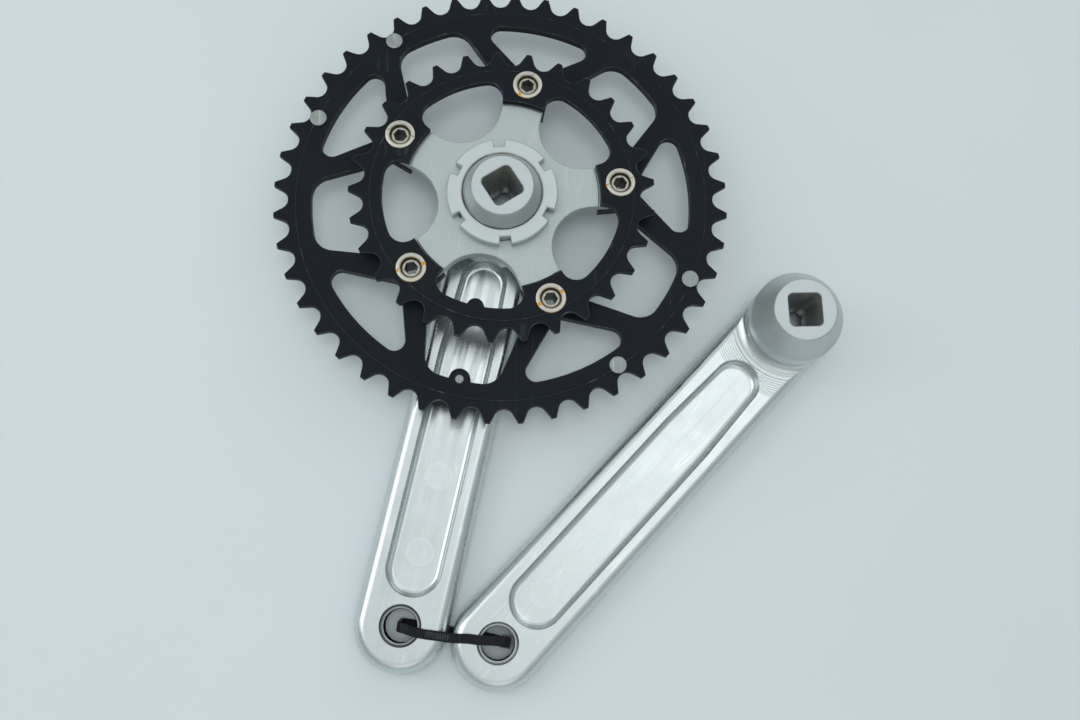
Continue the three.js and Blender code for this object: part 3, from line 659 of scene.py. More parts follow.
def grown(piece, tree, **values):
    """Runs a geometry tree on the piece, with its named inputs, and keeps the result as its mesh."""
    modifier = piece.modifiers.new(tree.name, "NODES")
    modifier.node_group = tree
    names = {label.replace("_", " ").title(): value for label, value in values.items()}
    for item in tree.interface.items_tree:
        if item.in_out == "INPUT" and item.name in names:
            modifier[item.identifier] = names[item.name]
    return baked(piece)


round_pattern = round_pattern_tree()
row_pattern = row_pattern_tree()
screw_thread = thread_tree()

# ---- Shader node groups ----


def shader_group(name, inputs, outputs):
    group = bpy.data.node_groups.new(name, "ShaderNodeTree")
    for label, kind, value in inputs:
        socket = group.interface.new_socket(label, in_out="INPUT", socket_type=kind)
        if value is not None:
            socket.default_value = value
    for label, kind in outputs:
        group.interface.new_socket(label, in_out="OUTPUT", socket_type=kind)
    return group, group.nodes.new("NodeGroupInput"), group.nodes.new("NodeGroupOutput")


def noise(tree, vector, scale, detail=2.0, roughness=0.5, distortion=0.0):
    made = tree.nodes.new("ShaderNodeTexNoise")
    made.inputs["Detail"].default_value = detail
    made.inputs["Roughness"].default_value = roughness
    made.inputs["Distortion"].default_value = distortion
    tree.links.new(vector, made.inputs["Vector"])
    feed(tree, made.inputs["Scale"], scale)
    return made.outputs["Fac"]


def feed(tree, socket, value):
    if isinstance(value, bpy.types.NodeSocket):
        tree.links.new(value, socket)
    else:
        socket.default_value = value


def spread(tree, value, low, high, start=0.0, end=1.0):
    """Maps low..high to start..end, held at both ends."""
    made = tree.nodes.new("ShaderNodeMapRange")
    for socket, number in zip(made.inputs, (value, low, high, start, end)):
        feed(tree, socket, number)
    return made.outputs["Result"]


def stretched(tree, vector, scale, turn=0.0, location=(0, 0, 0)):
    made = tree.nodes.new("ShaderNodeMapping")
    made.vector_type = "TEXTURE" if location != (0, 0, 0) else "POINT"
    made.inputs["Location"].default_value = location
    made.inputs["Rotation"].default_value = (0, 0, math.radians(turn))
    made.inputs["Scale"].default_value = scale
    tree.links.new(vector, made.inputs["Vector"])
    return made.outputs["Vector"]


def grain_group():
    """Fine grain and slow tone changes of a finished metal or plastic surface."""
    group, source, output = shader_group("surface_grain", [
        ("Vector", "NodeSocketVector", None), ("Grain Size", "NodeSocketFloat", 0.0003),
        ("Patch Size", "NodeSocketFloat", 0.02)],
        [("Grain", "NodeSocketFloat"), ("Patches", "NodeSocketFloat")])
    vector = source.outputs["Vector"]
    fine = math_node(group, "DIVIDE", 1.0, source.outputs["Grain Size"])
    coarse = math_node(group, "DIVIDE", 1.0, source.outputs["Patch Size"])
    group.links.new(noise(group, vector, fine, 3.0, 0.6), output.inputs["Grain"])
    group.links.new(noise(group, vector, coarse, 4.0, 0.55, 0.6), output.inputs["Patches"])
    return group


def scratch_group():
    """Thin straight scratches in three directions."""
    group, source, output = shader_group("fine_scratches", [
        ("Vector", "NodeSocketVector", None), ("Spacing", "NodeSocketFloat", 0.004),
        ("Share", "NodeSocketFloat", 0.1)], [("Scratches", "NodeSocketFloat")])
    masks = []
    scale = math_node(group, "DIVIDE", 1.0, source.outputs["Spacing"])
    for turn in (17, 71, -38):
        along = stretched(group, source.outputs["Vector"], (1.0, 0.035, 0.5), turn)
        lines = noise(group, along, scale, 1.0, 0.4, 0.25)
        near = math_node(group, "ABSOLUTE", math_node(group, "SUBTRACT", lines, 0.5), 0)
        thin = spread(group, near, 0.0, 0.006, 1.0, 0.0)
        where = noise(group, source.outputs["Vector"], math_node(group, "MULTIPLY", scale, 0.6), 1.0)
        gate = math_node(group, "SUBTRACT", 1.0, source.outputs["Share"])
        shown = math_node(group, "GREATER_THAN", math_node(group, "ADD", where, 0.18), gate)
        masks.append(math_node(group, "MULTIPLY", thin, shown))
    both = math_node(group, "MAXIMUM", masks[0], masks[1])
    group.links.new(math_node(group, "MAXIMUM", both, masks[2]), output.inputs["Scratches"])
    return group


def wear_group():
    """Breaks an even edge mask into patchy wear."""
    group, source, output = shader_group("edge_wear", [
        ("Vector", "NodeSocketVector", None), ("Edge", "NodeSocketFloat", 0.0),
        ("Patch Size", "NodeSocketFloat", 0.006), ("Amount", "NodeSocketFloat", 0.5)],
        [("Wear", "NodeSocketFloat")])
    scale = math_node(group, "DIVIDE", 1.0, source.outputs["Patch Size"])
    patches = noise(group, source.outputs["Vector"], scale, 4.0, 0.7)
    low = math_node(group, "SUBTRACT", 0.85, source.outputs["Amount"])
    high = math_node(group, "ADD", low, 0.25)
    worn = spread(group, patches, low, high)
    group.links.new(math_node(group, "MULTIPLY", worn, source.outputs["Edge"]), output.inputs["Wear"])
    return group


def speck_group():
    """Small scattered specks of dirt or chips."""
    group, source, output = shader_group("specks", [
        ("Vector", "NodeSocketVector", None), ("Spacing", "NodeSocketFloat", 0.006),
        ("Speck Size", "NodeSocketFloat", 0.1)], [("Specks", "NodeSocketFloat")])
    cells = group.nodes.new("ShaderNodeTexVoronoi")
    group.links.new(source.outputs["Vector"], cells.inputs["Vector"])
    group.links.new(math_node(group, "DIVIDE", 1.0, source.outputs["Spacing"]), cells.inputs["Scale"])
    pick = group.nodes.new("ShaderNodeSeparateColor")
    group.links.new(cells.outputs["Color"], pick.inputs["Color"])
    some = math_node(group, "GREATER_THAN", pick.outputs["Red"], 0.72)
    size = math_node(group, "MULTIPLY", source.outputs["Speck Size"], pick.outputs["Green"])
    inside = math_node(group, "LESS_THAN", cells.outputs["Distance"], size)
    group.links.new(math_node(group, "MULTIPLY", some, inside), output.inputs["Specks"])
    return group


def turned_group():
    """Distance from an axis along Z, and fine turning lines about it."""
    group, source, output = shader_group("turned_lines", [
        ("Vector", "NodeSocketVector", None), ("Pitch", "NodeSocketFloat", 0.0004)],
        [("Lines", "NodeSocketFloat"), ("Radius", "NodeSocketFloat"), ("Height", "NodeSocketFloat")])
    parts = group.nodes.new("ShaderNodeSeparateXYZ")
    flat = group.nodes.new("ShaderNodeCombineXYZ")
    length = group.nodes.new("ShaderNodeVectorMath")
    length.operation = "LENGTH"
    group.links.new(source.outputs["Vector"], parts.inputs[0])
    group.links.new(parts.outputs["X"], flat.inputs["X"])
    group.links.new(parts.outputs["Y"], flat.inputs["Y"])
    group.links.new(flat.outputs[0], length.inputs[0])
    radius = length.outputs["Value"]
    radial = group.nodes.new("ShaderNodeCombineXYZ")
    group.links.new(radius, radial.inputs["X"])
    scale = math_node(group, "DIVIDE", 1.0, source.outputs["Pitch"])
    group.links.new(noise(group, radial.outputs[0], scale, 2.0, 0.6), output.inputs["Lines"])
    group.links.new(radius, output.inputs["Radius"])
    group.links.new(parts.outputs["Z"], output.inputs["Height"])
    return group


def ring_group():
    """A round mark about a place given in the arm's own directions: a ring with a fainter disc in it."""
    group, source, output = shader_group("round_mark", [
        ("Vector", "NodeSocketVector", None), ("Place", "NodeSocketVector", (0, 0, 0)),
        ("Radius", "NodeSocketFloat", 0.005), ("Width", "NodeSocketFloat", 0.001),
        ("Disc", "NodeSocketFloat", 0.3)], [("Mark", "NodeSocketFloat")])
    moved = group.nodes.new("ShaderNodeVectorMath")
    moved.operation = "SUBTRACT"
    flat = group.nodes.new("ShaderNodeVectorMath")
    flat.operation = "MULTIPLY"
    flat.inputs[1].default_value = (1, 1, 0)
    length = group.nodes.new("ShaderNodeVectorMath")
    length.operation = "LENGTH"
    group.links.new(source.outputs["Vector"], moved.inputs[0])
    group.links.new(source.outputs["Place"], moved.inputs[1])
    group.links.new(moved.outputs[0], flat.inputs[0])
    group.links.new(flat.outputs[0], length.inputs[0])
    away = math_node(group, "SUBTRACT", length.outputs["Value"], source.outputs["Radius"])
    ring = spread(group, math_node(group, "ABSOLUTE", away, 0), 0.0, source.outputs["Width"], 1.0, 0.0)
    disc = spread(group, away, -0.0012, 0.0, source.outputs["Disc"], 0.0)
    group.links.new(math_node(group, "MAXIMUM", ring, disc), output.inputs["Mark"])
    return group


surface_grain = grain_group()
fine_scratches = scratch_group()
edge_wear = wear_group()
specks = speck_group()
turned_lines = turned_group()
round_mark = ring_group()

# ---- Materials ----


class Finish:
    """A Principled material in the making, with the nodes that feed it."""

    def __init__(self, name, metallic, roughness, **constants):
        self.material = bpy.data.materials.new(name)
        self.material.use_nodes = True
        self.tree = self.material.node_tree
        self.shader = self.tree.nodes["Principled BSDF"]
        self.shader.inputs["Metallic"].default_value = metallic
        self.shader.inputs["Roughness"].default_value = roughness
        for label, value in constants.items():
            self.shader.inputs[label.replace("_", " ")].default_value = value
        self.vector = self.tree.nodes.new("ShaderNodeTexCoord").outputs["Object"]

    def group(self, tree, vector=None, **values):
        made = self.tree.nodes.new("ShaderNodeGroup")
        made.node_tree = tree
        self.tree.links.new(vector or self.vector, made.inputs["Vector"])
        for label, value in values.items():
            feed(self.tree, made.inputs[label.replace("_", " ").title()], value)
        return made.outputs

    def worn(self):
        return self.mark("worn")

    def mark(self, name):
        made = self.tree.nodes.new("ShaderNodeAttribute")
        made.attribute_name = name
        return made.outputs["Fac"]

    def around(self, centre, degrees=0):
        """Object coordinates moved to an axis and turned to a heading."""
        return stretched(self.tree, self.vector, (1, 1, 1), degrees, (centre.x * MM, centre.y * MM, 1e-9))

    def mixed(self, mask, first, second):
        made = self.tree.nodes.new("ShaderNodeMix")
        made.data_type = "RGBA"
        feed(self.tree, made.inputs["Factor"], mask)
        feed(self.tree, made.inputs["A"], first if not isinstance(first, tuple) else (*first, 1))
        feed(self.tree, made.inputs["B"], second if not isinstance(second, tuple) else (*second, 1))
        return made.outputs["Result"]

    def blend(self, mask, first, second):
        made = self.tree.nodes.new("ShaderNodeMix")
        for label, value in (("Factor", mask), ("A", first), ("B", second)):
            feed(self.tree, made.inputs[label], value)
        return made.outputs["Result"]

    def colour(self, value):
        feed(self.tree, self.shader.inputs["Base Color"], value)

    def roughness(self, value):
        feed(self.tree, self.shader.inputs["Roughness"], value)

    def metallic(self, value):
        feed(self.tree, self.shader.inputs["Metallic"], value)

    def bumps(self, *layers):
        """Bump layers of (height, depth in metres), one on the other."""
        normal = None
        for height, depth in layers:
            made = self.tree.nodes.new("ShaderNodeBump")
            made.inputs["Distance"].default_value = depth
            made.inputs["Strength"].default_value = 1.0
            self.tree.links.new(height, made.inputs["Height"])
            if normal is not None:
                self.tree.links.new(normal, made.inputs["Normal"])
            normal = made.outputs["Normal"]
        self.tree.links.new(normal, self.shader.inputs["Normal"])

    def times(self, first, second):
        return math_node(self.tree, "MULTIPLY", first, second)

    def plus(self, first, second):
        return math_node(self.tree, "ADD", first, second)

    def range(self, value, low, high, start=0.0, end=1.0):
        return spread(self.tree, value, low, high, start, end)


def arm_alloy(name, centre, degrees, dwells, passes, seat_shade_strength):
    """Machined aluminium, brushed along the arm, with handling scratches, a stained taper and painted shade in
    the pedal hole's bevel.
    """
    finish = Finish(name, 1.0, 0.28)
    local = finish.around(centre, degrees)
    parts = finish.tree.nodes.new("ShaderNodeSeparateXYZ")
    finish.tree.links.new(local, parts.inputs[0])
    grain = finish.group(surface_grain, local, grain_size=0.0005, patch_size=0.014)
    brushing = noise(finish.tree, stretched(finish.tree, local, (1.0, 0.02, 1.0)), 3200, 2.0, 0.6)
    scratches = finish.group(fine_scratches, local, spacing=0.007, share=0.34)["Scratches"]
    rings = finish.group(turned_lines, local, pitch=0.00035)
    dirt = finish.group(specks, local, spacing=0.012, speck_size=0.03)["Specks"]
    # Passes of the cutter leave slight hollows along the pocket's floor, deepest at the boss end.
    floor_height = (arm_inner_face - POCKET_DEPTH + 0.25) * MM
    on_floor = finish.range(rings["Height"], floor_height, floor_height + 0.0008, 1.0, 0.0)
    edge = POCKET_WIDTH / 2 * MM
    for value, low, high in ((math_node(finish.tree, "ABSOLUTE", parts.outputs["X"], 0), edge + 0.0005, edge),
                             (parts.outputs["Y"], (POCKET_EYE_WALL - 0.5 - crank_length) * MM,
                              (POCKET_EYE_WALL - crank_length) * MM),
                             (parts.outputs["Y"], -(arm_half + POCKET_BOSS_WALL - 0.5) * MM,
                              -(arm_half + POCKET_BOSS_WALL) * MM)):
        on_floor = finish.times(on_floor, finish.range(value, low, high))
    across = finish.times(parts.outputs["X"], 2 * math.pi / (FLOOR_PASS * MM))
    faded = finish.range(parts.outputs["Y"], -0.100, -0.082, 0.12, 1.0)
    waves = finish.times(finish.times(math_node(finish.tree, "COSINE", across, 0), on_floor), faded)
    seam = finish.range(math_node(finish.tree, "ABSOLUTE", parts.outputs["X"], 0), 0.0, 0.0005, 1.0, 0.0)
    seam = finish.times(finish.times(seam, on_floor), finish.range(parts.outputs["Y"], -0.095, -0.065))
    swirls = None
    for place in dwells:
        mark = finish.group(round_mark, local, place=(0.0004, -place * MM, 0), radius=DWELL_RADIUS * MM,
                            width=0.0009, disc=0.45)["Mark"]
        swirls = mark if swirls is None else finish.plus(swirls, mark)
    swirls = finish.times(swirls, on_floor)
    tone = finish.mixed(grain["Patches"], (0.59, 0.63, 0.63), (0.69, 0.73, 0.73))
    tone = finish.mixed(finish.range(brushing, 0.35, 0.7, 0.0, 0.3), tone, (0.78, 0.81, 0.81))
    tone = finish.mixed(finish.times(swirls, 0.18), tone, (0.95, 0.97, 0.97))
    tone = finish.mixed(finish.times(scratches, 0.3), tone, (0.93, 0.95, 0.95))
    tone = finish.mixed(finish.times(dirt, 0.7), tone, (0.13, 0.12, 0.10))
    edge = finish.group(edge_wear, local, edge=finish.worn(), patch_size=0.004, amount=0.5)["Wear"]
    tone = finish.mixed(finish.times(edge, 0.35), tone, (0.84, 0.86, 0.86))
    # Painted shade: the bevel round the pedal hole is darkened as though it lay in shadow.
    seat = (PEDAL_LIP_RADIUS + PEDAL_SEAT_RADIUS) / 2
    bevel = finish.group(round_mark, local, place=(0, -crank_length * MM, 0), radius=seat * MM,
                         width=0.00075, disc=0.0)["Mark"]
    below_face = finish.range(rings["Height"], (arm_inner_face - 0.10) * MM, (arm_inner_face - 0.02) * MM, 1, 0)
    painted_seat_shade = finish.times(finish.times(finish.range(bevel, 0.0, 0.4), below_face), seat_shade_strength)
    tone = finish.mixed(painted_seat_shade, tone, (0.045, 0.05, 0.055))
    boss = finish.times(finish.range(rings["Radius"], 0.0177, 0.0182, 1.0, 0.0),
                        finish.range(rings["Height"], 0.0158, 0.0166))
    satin = finish.mixed(grain["Patches"], (0.54, 0.58, 0.58), (0.61, 0.65, 0.65))
    tone = finish.mixed(boss, tone, satin)
    # The square hole's walls are stained brown in streaks along the axis.
    inside = finish.range(rings["Radius"], 0.0097, 0.0099, 1.0, 0.0)
    below = finish.range(rings["Height"], (boss_height - 0.9) * MM, (boss_height - 0.5) * MM, 1.0, 0.0)
    streaks = noise(finish.tree, stretched(finish.tree, local, (1.0, 1.0, 0.15)), 420, 4.0, 0.75)
    blotches = noise(finish.tree, local, 260, 3.0, 0.6)
    stain = finish.times(finish.times(inside, below), finish.range(streaks, 0.45, 0.60, 0.0, 0.8))
    brown = finish.mixed(finish.range(blotches, 0.38, 0.62), (0.15, 0.13, 0.10), (0.46, 0.38, 0.28))
    finish.colour(finish.mixed(stain, tone, brown))
    finish.metallic(finish.range(stain, 0.0, 1.0, 1.0, 0.5))
    rough = finish.range(grain["Patches"], 0.3, 0.7, 0.23, 0.33)
    rough = finish.blend(finish.times(swirls, 0.6), rough, 0.42)
    rough = finish.blend(painted_seat_shade, rough, 0.6)
    rough = finish.blend(boss, rough, 0.5)
    finish.roughness(finish.blend(stain, rough, 0.5))
    matt = finish.times(boss, grain["Grain"])
    finish.bumps((waves, passes), (seam, 0.00003), (grain["Patches"], 0.00002), (brushing, 0.0000012),
                 (grain["Grain"], 0.000001), (matt, 0.000012), (swirls, 0.000008),
                 (scratches, -0.000002))
    return finish.material


def spider_alloy():
    """Bead-blasted aluminium with a slight green cast and dark specks."""
    finish = Finish("bead_blasted_alloy", 1.0, 0.5)
    grain = finish.group(surface_grain, grain_size=0.00028, patch_size=0.014)
    marks = finish.group(specks, spacing=0.012, speck_size=0.035)["Specks"]
    scratches = finish.group(fine_scratches, spacing=0.008, share=0.3)["Scratches"]
    tone = finish.mixed(grain["Patches"], (0.40, 0.45, 0.44), (0.48, 0.53, 0.52))
    tone = finish.mixed(finish.range(grain["Grain"], 0.35, 0.7, 0.0, 0.35), tone, (0.70, 0.74, 0.735))
    tone = finish.mixed(finish.times(scratches, 0.10), tone, (0.86, 0.88, 0.87))
    tone = finish.mixed(finish.times(marks, 0.85), tone, (0.08, 0.075, 0.07))
    edge = finish.group(edge_wear, edge=finish.worn(), patch_size=0.005, amount=0.6)["Wear"]
    finish.colour(finish.mixed(finish.times(edge, 0.6), tone, (0.92, 0.93, 0.92)))
    finish.roughness(finish.range(grain["Patches"], 0.3, 0.7, 0.44, 0.56))
    finish.bumps((grain["Grain"], 0.00001), (grain["Patches"], 0.00004), (scratches, -0.000008))
    return finish.material


def lockring_alloy():
    """Finely turned aluminium, with a brown deposit where it meets the boss."""
    finish = Finish("turned_alloy", 1.0, 0.46)
    local = finish.around(right_spindle)
    rings = finish.group(turned_lines, local, pitch=0.00025)
    grain = finish.group(surface_grain, local, grain_size=0.0003, patch_size=0.009)
    tone = finish.mixed(grain["Patches"], (0.53, 0.58, 0.565), (0.62, 0.665, 0.655))
    edge = finish.group(edge_wear, local, edge=finish.worn(), patch_size=0.004, amount=0.55)["Wear"]
    tone = finish.mixed(finish.times(edge, 0.5), tone, (0.92, 0.93, 0.92))
    near = finish.range(rings["Radius"], lockring_bore * MM, (lockring_bore + 0.8) * MM, 1.0, 0.0)
    dirt = finish.times(near, finish.range(grain["Patches"], 0.3, 0.6))
    finish.colour(finish.mixed(dirt, tone, (0.12, 0.095, 0.07)))
    finish.metallic(finish.range(dirt, 0.0, 1.0, 1.0, 0.2))
    finish.roughness(finish.blend(dirt, 0.44, 0.75))
    finish.bumps((rings["Lines"], 0.000006), (grain["Grain"], 0.000006))
    return finish.material


def black_anodised():
    """Black anodised aluminium with faint turning lines, a few scratches, worn tooth edges and a painted
    highlight along every chamfer.
    """
    finish = Finish("black_anodised_alloy", 0.0, 0.42, Specular_IOR_Level=0.10)
    local = finish.around(right_spindle)
    rings = finish.group(turned_lines, local, pitch=0.0005)
    grain = finish.group(surface_grain, local, grain_size=0.00035, patch_size=0.022)
    scratches = finish.group(fine_scratches, local, spacing=0.014, share=0.2)["Scratches"]
    marks = finish.group(specks, local, spacing=0.010, speck_size=0.035)["Specks"]
    edge = finish.group(edge_wear, local, edge=finish.worn(), patch_size=0.005, amount=0.30)["Wear"]
    tone = finish.mixed(grain["Patches"], (0.0042, 0.0058, 0.0085), (0.0085, 0.0112, 0.0155))
    tone = finish.mixed(finish.range(rings["Lines"], 0.45, 0.8, 0.0, 0.25), tone, (0.022, 0.026, 0.032))
    # Painted highlight: every chamfer is lifted evenly to a paler grey as though catching the light; the patchy
    # wear further on is real.
    tone = finish.mixed(finish.times(finish.worn(), 0.6), tone, (0.040, 0.046, 0.054))
    tone = finish.mixed(finish.times(scratches, 0.16), tone, (0.10, 0.11, 0.12))
    tone = finish.mixed(finish.times(edge, 0.7), tone, (0.24, 0.25, 0.26))
    finish.colour(finish.mixed(finish.times(marks, 0.5), tone, (0.34, 0.35, 0.36)))
    finish.roughness(finish.range(grain["Patches"], 0.3, 0.7, 0.34, 0.48))
    finish.bumps((rings["Lines"], 0.000005), (grain["Grain"], 0.000005), (scratches, -0.000008))
    return finish.material


def nickel_steel():
    """Warm nickel plate with a sandy grain, rust that gathers in the slots' low places, and painted shade deep
    below the nut's face.
    """
    finish = Finish("nickel_plate", 1.0, 0.42)
    grain = finish.group(surface_grain, grain_size=0.00028, patch_size=0.0035)
    marks = finish.group(specks, spacing=0.0018, speck_size=0.07)["Specks"]
    height = finish.tree.nodes.new("ShaderNodeSeparateXYZ")
    finish.tree.links.new(finish.vector, height.inputs[0])
    flange_top = (inner_top - NUT_SEAT_DEPTH + NUT_FLANGE_THICKNESS) * MM
    low = finish.range(height.outputs["Z"], flange_top - 0.0005, flange_top - 0.0001, 1.0, 0.0)
    shallow = finish.range(height.outputs["Z"], flange_top - 0.0011, flange_top - 0.0007)
    patchy = finish.range(finish.plus(grain["Patches"], finish.times(finish.mark("rust"), 0.22)), 0.60, 0.66)
    rust = finish.times(finish.times(low, shallow), patchy)
    # Painted shade: below the nut's face the colour darkens with depth, as though shadowed down the bore and on
    # the bolt's sunk end.
    painted_bore_shade = finish.range(height.outputs["Z"], flange_top - 0.004, flange_top - 0.0006, 1.0, 0.0)
    tone = finish.mixed(grain["Patches"], (0.55, 0.52, 0.45), (0.72, 0.69, 0.61))
    tone = finish.mixed(finish.range(grain["Grain"], 0.3, 0.7, 0.45, 0.0), tone, (0.36, 0.33, 0.27))
    edge = finish.group(edge_wear, edge=finish.worn(), patch_size=0.002, amount=0.6)["Wear"]
    tone = finish.mixed(finish.times(edge, 0.4), tone, (0.80, 0.77, 0.71))
    tone = finish.mixed(finish.times(marks, 0.7), tone, (0.12, 0.10, 0.07))
    tone = finish.mixed(finish.times(painted_bore_shade, 0.9), tone, (0.10, 0.09, 0.075))
    finish.colour(finish.mixed(rust, tone, (0.58, 0.27, 0.03)))
    finish.metallic(finish.range(rust, 0.0, 1.0, 1.0, 0.0))
    finish.roughness(finish.blend(rust, 0.42, 0.8))
    finish.bumps((grain["Grain"], 0.00001), (grain["Patches"], 0.00002))
    return finish.material


def pin_steel():
    """Plain turned steel."""
    finish = Finish("pin_steel", 1.0, 0.5)
    grain = finish.group(surface_grain, grain_size=0.0004, patch_size=0.0022)
    scratches = finish.group(fine_scratches, spacing=0.003, share=0.4)["Scratches"]
    tone = finish.mixed(grain["Patches"], (0.20, 0.225, 0.22), (0.42, 0.45, 0.44))
    finish.colour(finish.mixed(finish.times(scratches, 0.4), tone, (0.85, 0.86, 0.86)))
    finish.roughness(finish.range(grain["Patches"], 0.3, 0.7, 0.4, 0.56))
    finish.bumps((grain["Grain"], 0.000012), (grain["Patches"], 0.00004))
    return finish.material


def black_nylon():
    """Moulded black nylon with a faint grain and paler rubbed ribs."""
    finish = Finish("black_nylon", 0.0, 0.4, Specular_IOR_Level=0.14)
    grain = finish.group(surface_grain, grain_size=0.0004, patch_size=0.004)
    scratches = finish.group(fine_scratches, spacing=0.003, share=0.4)["Scratches"]
    tone = finish.mixed(grain["Patches"], (0.0035, 0.004, 0.0045), (0.008, 0.0085, 0.0095))
    edge = finish.group(edge_wear, edge=finish.worn(), patch_size=0.002, amount=0.6)["Wear"]
    tone = finish.mixed(finish.times(edge, 0.8), tone, (0.20, 0.205, 0.21))
    finish.colour(finish.mixed(finish.times(scratches, 0.2), tone, (0.08, 0.08, 0.09)))
    finish.roughness(finish.range(grain["Patches"], 0.3, 0.7, 0.34, 0.5))
    finish.bumps((grain["Grain"], 0.000012),)
    return finish.material


right_alloy = arm_alloy("right_arm_alloy", right_spindle, right_turn, RIGHT_DWELLS, 0.00009, 0.8)
left_alloy = arm_alloy("left_arm_alloy", left_spindle, left_turn, LEFT_DWELLS, 0.000015, 0.35)
blasted = spider_alloy()
turned_alloy = lockring_alloy()
anodised = black_anodised()
nickel = nickel_steel()
steel = pin_steel()
nylon = black_nylon()

# ---- Crank arms ----


def arm_outline(amount=0.0):
    return [*arc((0, 0), arm_half - amount, 0, 180, 3),
            *arc((0, -crank_length), arm_half - amount, 180, 360, 3)]


def quarter(width, depth, steps, closing):
    """(inset, rise) pairs of a rounded edge: it opens from the face, or closes on to the other face."""
    angles = [math.pi / 2 * i / steps for i in range(steps + 1)]
    if closing:
        return [(width * (1 - math.cos(angle)), depth * math.sin(angle)) for angle in angles]
    return [(width * (1 - math.sin(angle)), depth * (1 - math.cos(angle))) for angle in angles]


def arm_bar():
    shell = Shell()
    outer = [(amount, rise) for amount, rise in quarter(OUTER_EDGE_RADIUS, OUTER_EDGE_RADIUS, 7, False)]
    inner = [(amount, arm_inner_face - INNER_EDGE_DEPTH + rise)
             for amount, rise in quarter(INNER_EDGE_WIDTH, INNER_EDGE_DEPTH, 12, True)]
    shell.stack([(arm_outline(amount), height) for amount, height in outer + inner])
    return shell.made("arm_bar")


def arm_envelope():
    """The arm's outline drawn up past the boss, which trims what stands on the arm."""
    shell = Shell()
    shell.stack([(arm_outline(), arm_side_top - 1), (arm_outline(), boss_height + PAST)])
    return shell.made("arm_envelope")


def pocket_outline(amount):
    head = POCKET_HEAD_WIDTH / 2
    foot = POCKET_WIDTH / 2
    head_centre = Vector((0, -(arm_half + POCKET_BOSS_WALL + head)))
    foot_centre = Vector((0, -(crank_length - POCKET_EYE_WALL - foot)))
    flare_end = head_centre.y - POCKET_FLARE
    return [*arc(head_centre, head - amount, 0, 180, 4),
            Vector((amount - foot, flare_end)),
            *arc(foot_centre, foot - amount, 180, 360, 4),
            Vector((foot - amount, flare_end))]


def pocket_cutter():
    shell = Shell()
    floor = arm_inner_face - POCKET_DEPTH
    fillet = [(amount, floor + rise)
              for amount, rise in quarter(POCKET_FILLET_WIDTH, POCKET_FILLET_DEPTH, 9, False)]
    lip = [(0, arm_inner_face - POCKET_LIP), (-POCKET_LIP, arm_inner_face),
           (-POCKET_LIP, arm_inner_face + PAST)]
    shell.stack([(pocket_outline(amount), height) for amount, height in fillet + lip])
    return shell.made("pocket_cutter")


def pedal_hole_cutter():
    seat = arm_inner_face - PEDAL_SEAT_DEPTH
    relief = EYE_RELIEF + 1.0
    return turning("pedal_hole_cutter", [
        (0, -PAST), (PEDAL_SEAT_RADIUS, -PAST), (PEDAL_SEAT_RADIUS, EYE_RELIEF),
        (PEDAL_BORE_RADIUS, relief), (PEDAL_BORE_RADIUS, seat - 0.15), (PEDAL_BORE_RADIUS + 0.15, seat),
        (PEDAL_LIP_RADIUS, seat), (PEDAL_SEAT_RADIUS, arm_inner_face), (PEDAL_SEAT_RADIUS, arm_inner_face + PAST),
        (0, arm_inner_face + PAST)], 72, (0, -crank_length))


def eye_relief_cutter():
    full = crank_length - EYE_RELIEF_LENGTH
    end = crank_length + ARM_WIDTH
    side = [(full - EYE_RELIEF_RAMP, 0), (full, EYE_RELIEF), (end, EYE_RELIEF), (end, -PAST),
            (full - EYE_RELIEF_RAMP, -PAST)]
    shell = Shell()
    shell.stack([([Vector((-distance, height)) for distance, height in side], x)
                 for x in (-ARM_WIDTH, ARM_WIDTH)])
    piece = shell.made("eye_relief_cutter")
    # The side view's axes become the arm's Y and Z.
    piece.data.transform(Matrix(((0, 0, 1, 0), (1, 0, 0, 0), (0, 1, 0, 0), (0, 0, 0, 1))))
    return piece


def square_outline(half):
    corners = [Vector((half, half)), Vector((-half, half)), Vector((-half, -half)), Vector((half, -half))]
    return turned(rounded(corners, TAPER_CORNER * half * 2 / TAPER_MOUTH, 11.25), 45)


def spindle_hole_cutters():
    half = TAPER_MOUTH / 2
    base = EXTRACTOR_DEPTH - PAST
    slope = math.tan(math.radians(TAPER_ANGLE))
    shell = Shell()
    shell.stack([(square_outline(half - (boss_height - base) * slope), base),
                 (square_outline(half - TAPER_LIP * slope), boss_height - TAPER_LIP),
                 (square_outline(half + TAPER_LIP), boss_height),
                 (square_outline(half + TAPER_LIP), boss_height + PAST)])
    recess = turning("recess", [
        (0, -PAST), (EXTRACTOR_RADIUS + 0.8, -PAST), (EXTRACTOR_RADIUS + 0.8, 0), (EXTRACTOR_RADIUS, 0.8),
        (EXTRACTOR_RADIUS, EXTRACTOR_DEPTH), (0, EXTRACTOR_DEPTH)], 72)
    return [shell.made("square_hole"), recess]


def boss_top():
    return [(BOSS_FACE_RADIUS + BOSS_CHAMFER * cone_slope, boss_height - BOSS_CHAMFER),
            (BOSS_FACE_RADIUS - BOSS_CHAMFER, boss_height, 1), (0, boss_height)]


def left_boss():
    """The left boss with its hollow foot, and the plain band that the foot runs out to."""
    band = arm_inner_face + 0.5
    foot = arm_inner_face + 0.95
    centre = Vector((left_wall + BOSS_FOOT_RADIUS, foot + BOSS_FOOT_RADIUS))
    hollow = [(point.x, point.y) for point in arc(centre, BOSS_FOOT_RADIUS, 264, 180, 5)]
    return turning("left_boss", [(0, arm_side_top), (BOSS_FOOT_BAND + 0.6, arm_side_top),
                                 (BOSS_FOOT_BAND + 0.6, arm_inner_face), (BOSS_FOOT_BAND, arm_inner_face + 0.3),
                                 (BOSS_FOOT_BAND - 0.15, band), (hollow[0][0] + 0.2, band + 0.2),
                                 *hollow, (left_wall, left_cone_base), *boss_top()], 160)


